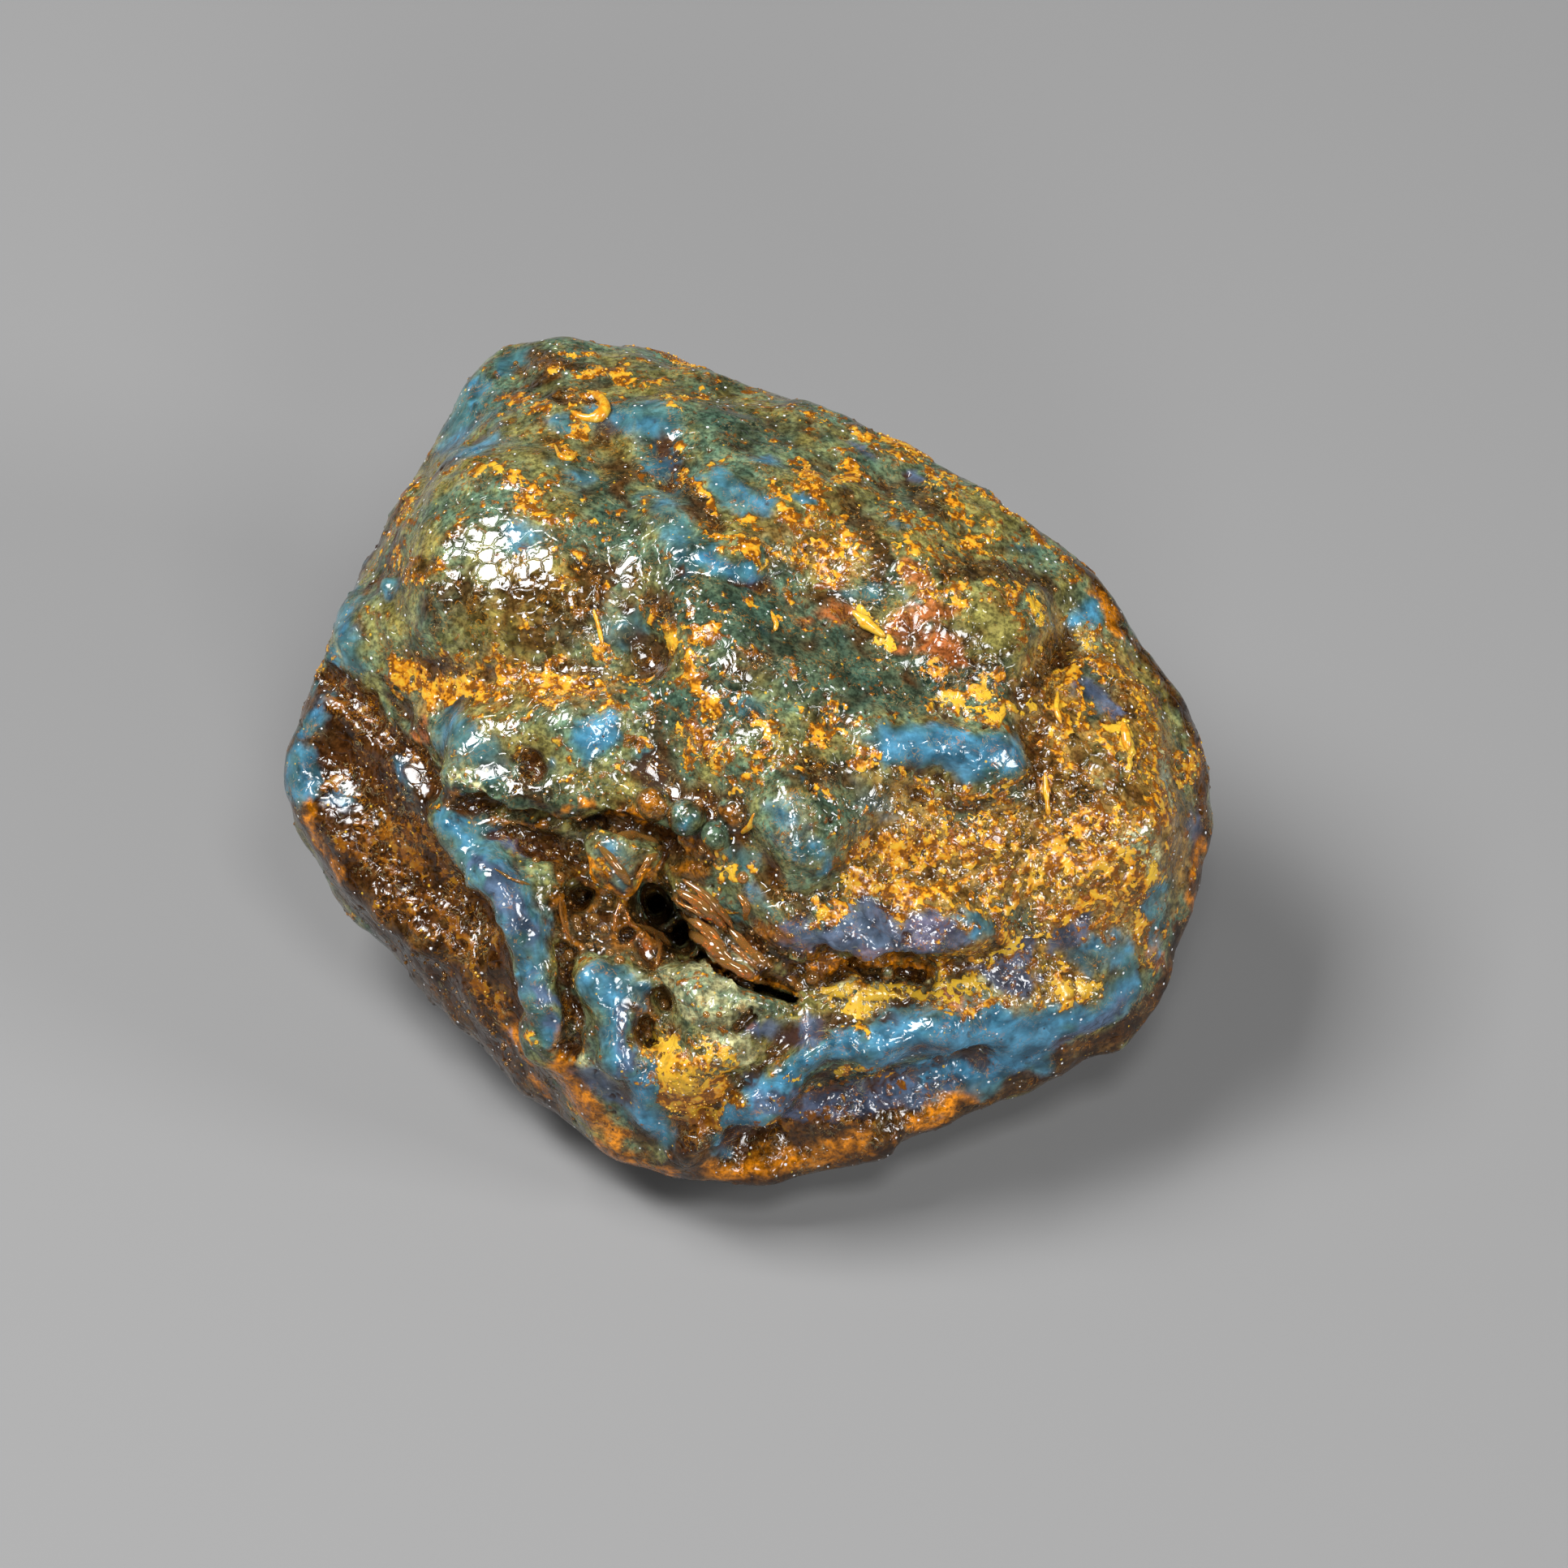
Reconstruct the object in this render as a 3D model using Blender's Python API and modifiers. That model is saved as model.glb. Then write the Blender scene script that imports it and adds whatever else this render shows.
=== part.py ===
"""Raw amber lump: one closed, weathered solid about 50 mm across.

Standalone Blender 4.5 script, metres, +Z up. The lump lies on a small worn flat at Z = 0, with the
origin under the middle of its box. Its form is described in millimetres, seen from six sides. The
main one is its big worn face, which looks forward and up: across runs to the right, up runs up the
face, and out is the way the face looks.
"""
import math
from collections import namedtuple

import bmesh
import bpy
import numpy as np
from mathutils import Matrix, Vector, noise
from mathutils.bvhtree import BVHTree

MM = 0.001

# Driving dimensions, in millimetres
LUMP_WIDTH = 50.2          # along X
FACE_LEAN = 48.0           # degrees that the big face's outward direction leans up from the floor
MIDDLE_HEIGHT = 16.0       # the middle of the form, above the rest
CLAY_STEP = 0.55           # spacing of the mesh that is modelled on
FINISH_STEP = 0.44         # spacing of the mesh after the relief, the drips and the holes
ROUNDING_PASSES = 20       # smoothing passes that round the rough form's edges
FINISH_PASSES = 2          # smoothing passes after the relief
SURFACE_ROUGHNESS = 0.7    # height of the uneven weathered surface
ROUGHNESS_SPACING = 4.5    # size of its bumps
PATH_STEP = 0.4            # spacing of the points that a stroke is laid with
RAY_START = 60.0           # outside the lump on every side
WANDER = 1.1               # how far the relief strays from its paths
WANDER_SPACING = 3.0       # size of those wanderings
LUMP_TRIANGLES = 8800      # triangles of the finished solid
SNAP = 0.02                # corners this close to the rest's plane are laid on it

NODE = "amber_lump"
LEAN = math.radians(FACE_LEAN)
MIDDLE = Vector((0.0, 0.0, MIDDLE_HEIGHT))

# Each side's directions: across, up and out
SIDES = {
    "face": (Vector((1, 0, 0)), Vector((0, math.sin(LEAN), math.cos(LEAN))),
             Vector((0, -math.cos(LEAN), math.sin(LEAN)))),
    "front": (Vector((1, 0, 0)), Vector((0, 0, 1)), Vector((0, -1, 0))),
    "back": (Vector((-1, 0, 0)), Vector((0, 0, 1)), Vector((0, 1, 0))),
    "left": (Vector((0, -1, 0)), Vector((0, 0, 1)), Vector((-1, 0, 0))),
    "right": (Vector((0, 1, 0)), Vector((0, 0, 1)), Vector((1, 0, 0))),
    "under": (Vector((1, 0, 0)), Vector((0, -1, 0)), Vector((0, 0, -1))),
}

# The rim of the lump as the face shows it, anticlockwise from the top left corner: across, up, out
RIM = [
    (-13.8, 22.8, -9.5), (-15.4, 20.2, -8.5), (-16.4, 16.6, -6.0), (-18.2, 12.0, -2.8),
    (-22.3, 6.6, -0.7), (-23.8, 2.6, -1.5), (-25.2, -0.5, -2.6), (-24.6, -4.4, -4.6),
    (-22.2, -8.0, -5.8), (-19.8, -10.2, -6.0), (-16.0, -11.8, -5.2), (-12.8, -15.6, -2.6),
    (-10.6, -19.4, 0.0), (-7.3, -22.0, 2.5), (-3.0, -23.5, 4.4), (1.6, -23.5, 4.4),
    (5.8, -22.6, 3.6), (9.6, -20.8, 3.0), (14.4, -18.6, 2.0), (18.4, -17.2, 1.4),
    (21.6, -15.8, 1.0), (23.9, -12.8, 0.5), (25.0, -9.0, -0.5), (26.0, -4.5, -1.0),
    (26.2, -0.2, -0.8), (24.6, 3.6, 0.0), (20.8, 7.6, 1.0), (19.2, 10.8, 1.0), (15.8, 13.6, 0.5),
    (10.9, 16.3, -1.0), (5.2, 19.2, -2.5), (0.3, 20.8, -4.5), (-6.8, 22.7, -7.5),
    (-10.4, 23.5, -9.0),
]

# High points inside the rim: across, up, out
FACE_POINTS = [
    (-12.2, 13.0, 5.2), (-9.0, 18.5, 0.5), (-3.0, 12.4, 8.8), (4.5, 13.0, 6.5), (-0.8, 5.8, 12.2),
    (-18.4, 6.5, 3.0), (-17.2, 1.6, 5.0), (-15.7, -3.0, 7.0), (-11.3, 1.8, 9.4), (-12.2, -7.4, 8.8),
    (-9.6, -16.1, 7.2), (-2.4, -21.4, 6.4), (1.8, -18.2, 8.4), (-1.2, -13.9, 10.4), (3.6, -3.0, 13.4),
    (11.0, 4.0, 10.0), (15.2, 8.0, 6.4), (16.6, -1.0, 9.5), (22.0, -4.0, 6.8), (7.1, -15.0, 9.4),
    (12.4, -14.8, 8.0), (19.6, -12.8, 5.2),
]

# High points of the back, and of the sides under the rim: X, Y, height above the rest
BACK_POINTS = [
    (-9.0, 24.5, 16.5), (-17.0, 18.5, 15.0), (2.0, 21.5, 17.0), (10.5, 17.5, 16.0), (17.0, 12.5, 14.5),
    (21.5, 7.0, 12.0), (-22.0, 9.5, 12.0), (-12.0, 20.0, 6.0), (0.0, 18.5, 6.0), (10.0, 14.0, 5.0),
    (17.0, 6.0, 5.0), (-18.5, 6.0, 4.5), (-2.0, -16.0, 1.6), (9.0, -12.5, 2.6), (17.0, -6.0, 3.6),
]

# Outline of the worn flat that the lump lies on: X, Y
REST_POINTS = [
    (-12.0, 8.0), (-12.5, -1.0), (-6.0, -9.0), (4.5, -10.5), (12.0, -5.0), (12.5, 4.0), (5.0, 11.0),
    (-5.0, 12.5),
]
REST_DEPTH = 0.6           # how far the rough form reaches below the flat

Stroke = namedtuple("Stroke", "name side width height path")

# Relief pushed out of or into the rough form, along paths seen from one side
STROKES = [
    Stroke("dome", "face", 8.0, 1.5, [(-12.8, 14.0), (-11.6, 10.0)]),
    Stroke("top saddle", "face", 4.5, -0.9, [(-8.0, 17.2), (-5.4, 15.4)]),
    Stroke("upper swell", "face", 4.5, 0.7, [(-2.5, 18.0), (1.0, 14.6), (4.0, 14.0)]),
    Stroke("dome foot", "face", 3.4, -1.0, [(-7.2, 12.6), (-6.4, 9.5), (-5.2, 6.4)]),
    Stroke("ochre furrow", "face", 2.2, -0.8, [(-18.6, 4.6), (-13.4, 3.8), (-8.4, 4.4), (-5.4, 5.6)]),
    Stroke("second swell", "face", 4.4, 1.2, [(-13.0, 1.4), (-8.2, 1.2)]),
    Stroke("swell end", "face", 2.6, -0.9, [(-4.8, 5.0), (-4.4, 1.4), (-3.6, -1.6)]),
    Stroke("diagonal furrow", "face", 1.6, -0.8, [(-4.0, 17.5), (-3.2, 15.2), (-1.4, 12.8)]),
    Stroke("lens", "face", 1.6, 0.4, [(-2.2, 11.4), (0.2, 10.6)]),
    Stroke("lens crack", "face", 1.0, -0.9, [(-2.6, 10.5), (-0.8, 9.6), (1.2, 9.5)]),
    Stroke("middle swell", "face", 5.0, 0.7, [(0.0, 6.6), (1.8, 2.6)]),
    Stroke("middle hollow", "face", 4.4, -1.0, [(4.0, 8.6), (8.0, 6.0), (10.6, 3.8)]),
    Stroke("shoulder swell", "face", 5.0, 0.8, [(9.0, 10.6), (13.4, 8.0)]),
    Stroke("blue shelf", "face", 2.6, 0.9, [(7.4, 1.4), (11.5, 0.2), (14.6, 0.2)]),
    Stroke("shelf foot", "face", 1.8, -0.8, [(9.0, -1.8), (12.4, -2.4), (15.0, -2.4)]),
    Stroke("third swell", "face", 4.8, 1.2, [(2.6, -1.4), (3.4, -4.2)]),
    Stroke("side valley", "face", 3.2, -0.7, [(18.2, 7.0), (17.0, 3.4), (16.6, -0.4), (16.2, -3.2)]),
    Stroke("side swell", "face", 4.5, 0.6, [(21.4, 1.0), (21.6, -5.0)]),
    Stroke("ledge brow", "face", 2.4, 1.1, [(-15.2, -0.8), (-12.6, -2.2), (-9.4, -2.2), (-5.8, -2.8)]),
    Stroke("ledge foot", "face", 1.8, -2.2, [(-13.0, -4.4), (-10.6, -4.7), (-7.8, -4.4), (-4.2, -4.9)]),
    Stroke("basin", "face", 3.8, -1.9, [(-7.8, -7.4), (-4.8, -8.6), (-2.4, -9.8)]),
    Stroke("left ridge", "face", 1.9, 1.5, [(-15.7, -3.2), (-12.8, -6.4), (-11.3, -9.6), (-10.7, -12.6),
                                            (-9.9, -16.0)]),
    Stroke("thin ridge", "face", 1.1, 0.8, [(-13.0, -3.8), (-11.2, -5.2), (-9.9, -7.2), (-9.6, -9.2)]),
    Stroke("ridge groove", "face", 1.0, -1.0, [(-9.3, -10.4), (-9.1, -13.2), (-8.8, -16.0)]),
    Stroke("inner lobe", "face", 2.2, 0.5, [(-7.2, -12.4), (-6.9, -14.2), (-7.0, -16.4)]),
    Stroke("low fill", "face", 3.6, 0.8, [(-6.0, -15.0), (-4.0, -18.0), (-1.6, -17.4)]),
    Stroke("narrow pit", "face", 0.9, -2.0, [(-4.2, -12.6), (-4.4, -15.2)]),
    Stroke("plate", "face", 3.0, 1.1, [(-2.8, -12.4), (-0.4, -13.2), (-0.8, -15.6), (-2.8, -16.4),
                                       (-2.0, -14.2)]),
    Stroke("plate edge", "face", 1.0, 0.5, [(-4.0, -11.2), (-2.2, -11.2), (-0.4, -12.2)]),
    Stroke("plate gutter", "face", 1.3, -0.4, [(2.4, -14.0), (1.0, -16.4), (-1.6, -18.8)]),
    Stroke("crest", "face", 1.9, 1.2, [(-2.2, -21.2), (-0.2, -19.6), (1.8, -18.0), (4.2, -15.9),
                                       (7.2, -14.8), (10.4, -14.6)]),
    Stroke("crest shoulder", "face", 3.0, 0.8, [(11.4, -14.4), (18.4, -13.6)]),
    Stroke("crest gutter", "face", 1.6, -0.9, [(4.6, -13.4), (8.0, -12.9), (12.6, -12.8)]),
    Stroke("overhang", "face", 2.5, 1.7, [(2.6, -8.8), (6.4, -9.2), (10.6, -9.4), (13.2, -9.0)]),
    Stroke("overhang crack", "face", 1.2, -2.0, [(0.6, -9.8), (2.2, -11.2), (3.8, -11.6), (6.2, -11.3),
                                                 (10.4, -11.6), (13.6, -11.0)]),
    Stroke("lobe gap", "face", 1.0, -1.1, [(8.4, -8.0), (8.8, -10.6)]),
    Stroke("left hollow", "face", 4.6, -1.7, [(-20.8, -0.6), (-18.4, -4.4), (-15.2, -8.4)]),
    Stroke("left fold", "face", 2.4, 1.1, [(-23.0, -2.4), (-20.6, -6.4), (-16.8, -9.6)]),
    Stroke("low left hollow", "face", 3.0, -1.0, [(-14.6, -9.6), (-12.6, -14.0)]),
    Stroke("corner fold", "face", 1.6, -1.2, [(-22.0, 4.4), (-19.0, 1.8), (-16.9, -1.6)]),
    Stroke("corner knob", "face", 2.4, 0.6, [(-20.8, 6.4), (-19.2, 7.4)]),
    Stroke("undercut", "front", 3.2, -1.8, [(0.0, -9.2), (6.0, -7.8), (12.0, -7.4)]),
    Stroke("undercut rib", "front", 2.0, 1.0, [(2.0, -7.0), (8.0, -10.5)]),
    Stroke("back swell", "back", 7.0, 1.4, [(-6.0, 2.0), (4.0, 4.0)]),
    Stroke("back valley", "back", 4.0, -1.8, [(-16.0, 6.0), (-9.0, -1.0), (-3.0, -8.0)]),
    Stroke("back shelf", "back", 3.0, 1.2, [(2.0, -6.0), (10.0, -4.0), (16.0, -6.0)]),
    Stroke("back ledge foot", "back", 1.8, -1.5, [(0.0, -8.6), (7.0, -7.6), (13.0, -8.8)]),
    Stroke("back pocket", "back", 2.6, -1.6, [(9.0, 3.0), (12.0, 1.0)]),
    Stroke("right hollow", "right", 3.4, -1.2, [(3.0, -5.0), (9.0, -2.0)]),
    Stroke("right rib", "right", 2.2, 0.7, [(-4.0, -8.0), (3.0, -8.6), (9.0, -7.0)]),
    Stroke("left pocket", "left", 3.0, -1.2, [(-6.0, -4.0), (-10.0, -1.0)]),
]

Pit = namedtuple("Pit", "name place size turn")

# Holes and slits cut into the face: place across, up, out; half sizes; turn in the face, degrees
PITS = [
    Pit("main hole", (-4.5, -7.7, 7.4), (1.0, 1.15, 3.6), 20.0),
    Pit("lower hole", (-2.9, -10.1, 7.2), (0.9, 0.7, 2.8), -20.0),
    Pit("slit", (0.9, -12.0, 10.6), (3.8, 0.65, 4.6), -24.0),
    Pit("round pit", (-8.5, -7.2, 8.4), (0.85, 0.85, 1.9), 0.0),
    Pit("black pinhole", (-11.0, -0.6, 11.4), (0.5, 0.5, 1.6), 0.0),
]

Knob = namedtuple("Knob", "name place size turn")

# Drips and blisters grown on the face: place across, up, out; half sizes; turn in the face
KNOBS = [
    Knob("hanging drip", (-6.2, -5.2, 10.0), (1.5, 1.9, 1.3), 12.0),
    Knob("first blister", (-4.7, -2.4, 11.8), (0.8, 0.8, 0.7), 0.0),
    Knob("second blister", (-2.8, -3.2, 12.2), (0.7, 0.7, 0.7), 0.0),
    Knob("third blister", (-1.2, -4.4, 12.6), (0.6, 0.6, 0.6), 0.0),
]


def side_point(side, across, up, out):
    """Turn a place told from one side into the lump's own frame."""
    right, top, outward = SIDES[side]
    return MIDDLE + right * across + top * up + outward * out


def clear_scene():
    """Remove the objects that the file starts with."""
    for leftover in list(bpy.data.objects):
        bpy.data.objects.remove(leftover)


def new_collection(name):
    """Add a collection to the scene."""
    collection = bpy.data.collections.new(name)
    bpy.context.scene.collection.children.link(collection)
    return collection


def rough_hull(name, points):
    """Return a mesh of the closed hull that wraps the points."""
    shell = bmesh.new()
    for point in points:
        shell.verts.new(point)
    wrapped = bmesh.ops.convex_hull(shell, input=shell.verts[:])
    spare = set(wrapped["geom_interior"]) | set(wrapped["geom_unused"])
    bmesh.ops.delete(shell, geom=[item for item in spare if isinstance(item, bmesh.types.BMVert)],
                     context="VERTS")
    bmesh.ops.recalc_face_normals(shell, faces=shell.faces[:])
    mesh = bpy.data.meshes.new(name)
    shell.to_mesh(mesh)
    shell.free()
    return mesh


def rough_points():
    """List the high points that the rough form is wrapped around, in millimetres."""
    points = [side_point("face", *place) for place in RIM + FACE_POINTS]
    points += [Vector(place) for place in BACK_POINTS]
    points += [Vector((x, y, -REST_DEPTH)) for x, y in REST_POINTS]
    return points


def apply_modifiers(piece):
    """Replace the object's mesh by what its modifiers make of it."""
    graph = bpy.context.evaluated_depsgraph_get()
    finished = bpy.data.meshes.new_from_object(piece.evaluated_get(graph))
    spent = piece.data
    piece.modifiers.clear()
    piece.data = finished
    bpy.data.meshes.remove(spent)


def add_remesh(piece, step):
    """Give the object an even mesh."""
    remesh = piece.modifiers.new("even mesh", "REMESH")
    remesh.mode = "VOXEL"
    remesh.voxel_size = step


def add_smooth(piece, passes):
    """Round the object's edges."""
    smooth = piece.modifiers.new("rounding", "SMOOTH")
    smooth.factor = 0.5
    smooth.iterations = passes


def add_roughness(piece, height):
    """Make the surface uneven, as weathering leaves it."""
    clouds = bpy.data.textures.new("weathering", "CLOUDS")
    clouds.noise_scale = ROUGHNESS_SPACING
    clouds.noise_depth = 2
    displace = piece.modifiers.new("weathering", "DISPLACE")
    displace.texture = clouds
    displace.texture_coords = "LOCAL"
    displace.mid_level = 0.5
    displace.strength = height


def path_on_surface(tree, stroke):
    """Lay a stroke's path on the surface, as points a small step apart."""
    outward = SIDES[stroke.side][2]
    laid = []
    for (a_across, a_up), (b_across, b_up) in zip(stroke.path, stroke.path[1:]):
        count = max(2, int(math.hypot(b_across - a_across, b_up - a_up) / PATH_STEP))
        for index in range(count + 1):
            share = index / count
            start = side_point(stroke.side, a_across + (b_across - a_across) * share,
                               a_up + (b_up - a_up) * share, RAY_START)
            hit = tree.ray_cast(start, -outward)[0]
            if hit is not None:
                laid.append(hit)
    return np.array([tuple(point) for point in laid])


def wandered(places):
    """Shift the places unevenly, so that relief measured from them has natural edges."""
    drift = np.empty_like(places)
    for axis in range(3):
        offset = Vector((17.0, 31.0, 53.0)) * (axis + 1)
        drift[:, axis] = [noise.noise(Vector(place) / WANDER_SPACING + offset) for place in places]
    return places + drift * WANDER


def brush_strokes(piece, strokes):
    """Push the surface out or in along every stroke."""
    mesh = piece.data
    count = len(mesh.vertices)
    places = np.empty(count * 3, np.float32)
    mesh.vertices.foreach_get("co", places)
    places = places.reshape(-1, 3).astype(float)
    normals = np.empty(count * 3, np.float32)
    mesh.vertices.foreach_get("normal", normals)
    normals = normals.reshape(-1, 3).astype(float)
    shape = bmesh.new()
    shape.from_mesh(mesh)
    tree = BVHTree.FromBMesh(shape)
    shape.free()
    strayed = wandered(places)
    lift = np.zeros(count)
    for stroke in strokes:
        laid = path_on_surface(tree, stroke)
        low = laid.min(axis=0) - stroke.width
        high = laid.max(axis=0) + stroke.width
        near = np.where(((strayed > low) & (strayed < high)).all(axis=1))[0]
        reach = np.full(len(near), np.inf)
        for point in laid:
            reach = np.minimum(reach, np.linalg.norm(strayed[near] - point, axis=1))
        share = np.clip(1.0 - (reach / stroke.width) ** 2, 0.0, 1.0) ** 2
        lift[near] += share * stroke.height
    places += normals * lift[:, None]
    mesh.vertices.foreach_set("co", places.astype(np.float32).ravel())
    mesh.update()


def egg(name, collection, place, size, turn):
    """Make an egg-shaped solid that stands out of the face."""
    bpy.ops.mesh.primitive_ico_sphere_add(subdivisions=4, radius=1.0)
    piece = bpy.context.object
    piece.name = name
    right, top, outward = SIDES["face"]
    basis = Matrix((right, top, outward)).transposed().to_4x4()
    spin = Matrix.Rotation(math.radians(turn), 4, "Z")
    stretch = Matrix.Diagonal((*size, 1.0))
    matrix = Matrix.Translation(side_point("face", *place)) @ basis @ spin @ stretch
    piece.data.transform(matrix)
    for owner in list(piece.users_collection):
        owner.objects.unlink(piece)
    collection.objects.link(piece)
    piece.hide_render = True
    piece.display_type = "WIRE"
    return piece


def add_boolean(piece, other, operation):
    """Join another solid to the object or cut it away."""
    boolean = piece.modifiers.new(other.name, "BOOLEAN")
    boolean.operation = operation
    boolean.solver = "EXACT"
    boolean.object = other


def thin_out(piece, triangles):
    """Keep the triangles where the surface bends, down to the wanted number."""
    thin = piece.modifiers.new("thinned", "DECIMATE")
    thin.use_collapse_triangulate = True
    thin.ratio = triangles / sum(len(face.vertices) - 2 for face in piece.data.polygons)


def cut_rest(piece):
    """Cut the underside off flat at the rest, and close it with one face."""
    shape = bmesh.new()
    shape.from_mesh(piece.data)
    everything = shape.verts[:] + shape.edges[:] + shape.faces[:]
    cut = bmesh.ops.bisect_plane(shape, geom=everything, dist=SNAP, plane_co=(0, 0, 0),
                                 plane_no=(0, 0, -1), clear_outer=True)
    for corner in shape.verts:
        if abs(corner.co.z) <= SNAP:
            corner.co.z = 0.0
    rim = [item for item in cut["geom_cut"] if isinstance(item, bmesh.types.BMEdge)]
    bmesh.ops.holes_fill(shape, edges=rim)
    bmesh.ops.recalc_face_normals(shape, faces=shape.faces[:])
    shape.to_mesh(piece.data)
    shape.free()


def settle(piece):
    """Set the width, and put the origin under the middle of the lump, in metres."""
    corners = np.array([tuple(vertex.co) for vertex in piece.data.vertices])
    low = corners.min(axis=0)
    high = corners.max(axis=0)
    middle = (low + high) / 2
    scale = LUMP_WIDTH / (high[0] - low[0]) * MM
    piece.data.transform(Matrix.Scale(scale, 4) @ Matrix.Translation((-middle[0], -middle[1], 0.0)))


def amber_material():
    """Make the lump's plain material: dark blue-green resin with an ochre crust."""
    material = bpy.data.materials.new("weathered_amber")
    material.use_nodes = True
    shader = material.node_tree.nodes["Principled BSDF"]
    shader.inputs["Base Color"].default_value = (0.12, 0.13, 0.06, 1.0)
    shader.inputs["Roughness"].default_value = 0.22
    shader.inputs["Metallic"].default_value = 0.0
    return material


def build_lump(parts, cutters):
    """Model the lump: rough form, relief, drips, holes, and the worn flat."""
    lump = bpy.data.objects.new(NODE, rough_hull(NODE, rough_points()))
    parts.objects.link(lump)
    add_remesh(lump, CLAY_STEP)
    add_smooth(lump, ROUNDING_PASSES)
    apply_modifiers(lump)
    brush_strokes(lump, STROKES)
    add_roughness(lump, SURFACE_ROUGHNESS)
    for knob in KNOBS:
        add_boolean(lump, egg(knob.name, cutters, knob.place, knob.size, knob.turn), "UNION")
    for pit in PITS:
        add_boolean(lump, egg(pit.name, cutters, pit.place, pit.size, pit.turn), "DIFFERENCE")
    add_remesh(lump, FINISH_STEP)
    add_smooth(lump, FINISH_PASSES)
    apply_modifiers(lump)
    thin_out(lump, LUMP_TRIANGLES)
    apply_modifiers(lump)
    cut_rest(lump)
    settle(lump)
    lump.data.materials.append(amber_material())
    lump.data.shade_smooth()
    return lump


def main():
    """Build the lump in an empty scene."""
    clear_scene()
    parts = new_collection("raw_amber")
    cutters = new_collection("cutters")
    build_lump(parts, cutters)


if __name__ == "__main__":
    main()
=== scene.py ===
"""A raw amber lump: its weathered skin, crust and wet gloss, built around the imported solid.

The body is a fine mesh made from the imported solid, with the ledges, cracks, drips and blisters of
the big face sculpted into it. Colours are layers painted on it as masks (blue, ochre, brown and so
on), whose edges are broken up with noise. Paths are in millimetres, seen from one side: across to
the right, and up. The face is the side that looks forward and up.
"""

import math
from collections import namedtuple

import bmesh
import bpy
import numpy as np
from bpy.props import FloatProperty, FloatVectorProperty, IntProperty, PointerProperty
from mathutils import Matrix, Vector, noise
from mathutils.bvhtree import BVHTree


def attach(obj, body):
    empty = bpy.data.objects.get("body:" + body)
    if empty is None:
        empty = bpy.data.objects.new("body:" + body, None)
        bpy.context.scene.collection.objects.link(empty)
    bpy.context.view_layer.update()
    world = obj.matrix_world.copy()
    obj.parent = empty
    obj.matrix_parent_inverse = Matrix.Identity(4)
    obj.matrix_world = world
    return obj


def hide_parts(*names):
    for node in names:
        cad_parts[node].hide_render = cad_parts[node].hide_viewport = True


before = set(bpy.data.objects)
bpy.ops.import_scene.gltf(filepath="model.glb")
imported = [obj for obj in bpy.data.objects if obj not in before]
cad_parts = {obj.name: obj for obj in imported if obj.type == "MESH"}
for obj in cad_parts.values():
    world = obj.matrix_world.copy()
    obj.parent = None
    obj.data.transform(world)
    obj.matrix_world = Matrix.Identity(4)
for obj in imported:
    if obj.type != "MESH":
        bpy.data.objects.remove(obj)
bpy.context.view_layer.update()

bl_info = {
    "name": "Raw Amber Lump",
    "version": (1, 0, 0),
    "blender": (4, 5, 0),
    "location": "View3D > Sidebar > Amber",
    "description": "Builds the skin, crust and finish of a raw amber lump, and its stage",
    "category": "Object",
}

MM = 0.001
FRAME_WIDTH = 84.74         # what the camera sees across, in millimetres
SENSOR_WIDTH = 36.0
NODE = "amber_lump"
BODY = "root"

COARSER = 1.5           # how much wider the mesh's step is before the details
ROUNDING = 14           # smoothing passes before the big forms are sculpted
LAST_ROUNDING = 2       # smoothing passes before the details
MERGED = 1e-6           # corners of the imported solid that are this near, in metres, become one
PATH_STEP = 0.15        # spacing of the points that a path is laid with, in millimetres
RELIEF_DRIFT = 2.2      # spacing of the unevenness of the relief, in millimetres
COLOUR_DRIFT = 1.8      # the same for the colour layers
DRIFT_OFFSET = Vector((17.0, 31.0, 53.0))       # keeps the noise of the three axes apart
DETAIL_WANDER = 0.6     # how far the details stray, as a share of the big forms' straying
BOWL_WANDER = 0.3       # the same for round knobs and pits
COLOUR_REACH = 1.5      # a colour layer is this much wider, and strays this much further, than told
FLOOR_GAP = 0.02        # the underside stays this far above the floor, in millimetres
SCATTER_EDGE = 0.62     # how strong a layer must be before beads or grains lie on it
BEAD_SEED = 3
GRAIN_SEED = 8
CAVITY_PASSES = 14      # how widely the skin is blurred to find its hollows
BUMP_HEIGHT = 0.00005   # height of the material's own relief, in metres
AMBER_IOR = 1.54
BODY_SPECULAR = 0.32    # specular level of the opaque body
RESIN_ABSORPTION = (0.76, 0.34, 0.05, 1.0)      # what light keeps as it goes through clear resin
RESIN_DENSITY = 2200.0                          # how fast it does so, per metre
FLOOR_SIZE = 3.0        # from the floor's middle to its sides, in metres
FLOOR_ROUGHNESS = 0.7
SKY_TINT = (0.95, 0.97, 1.0, 1.0)

# The face leans back: its outward direction points this far above the floor
FACE_LEAN = math.radians(48.0)
FACE_MIDDLE = Vector((-0.54, -1.83, 15.92))      # the origin of every side's paths, in millimetres
RAY_START = 60.0                                # outside the lump on every side
EYE = (2.5, -1.45, 1177.0)                      # where the face is seen from: across, up and out

# What is to the right, up and outward, seen from each side
SIDES = {
    "face": (Vector((1, 0, 0)), Vector((0, math.sin(FACE_LEAN), math.cos(FACE_LEAN))),
             Vector((0, -math.cos(FACE_LEAN), math.sin(FACE_LEAN)))),
    "back": (Vector((-1, 0, 0)), Vector((0, 0, 1)), Vector((0, 1, 0))),
    "left": (Vector((0, -1, 0)), Vector((0, 0, 1)), Vector((-1, 0, 0))),
    "right": (Vector((0, 1, 0)), Vector((0, 0, 1)), Vector((1, 0, 0))),
    "under": (Vector((1, 0, 0)), Vector((0, -1, 0)), Vector((0, 0, -1))),
}

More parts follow.
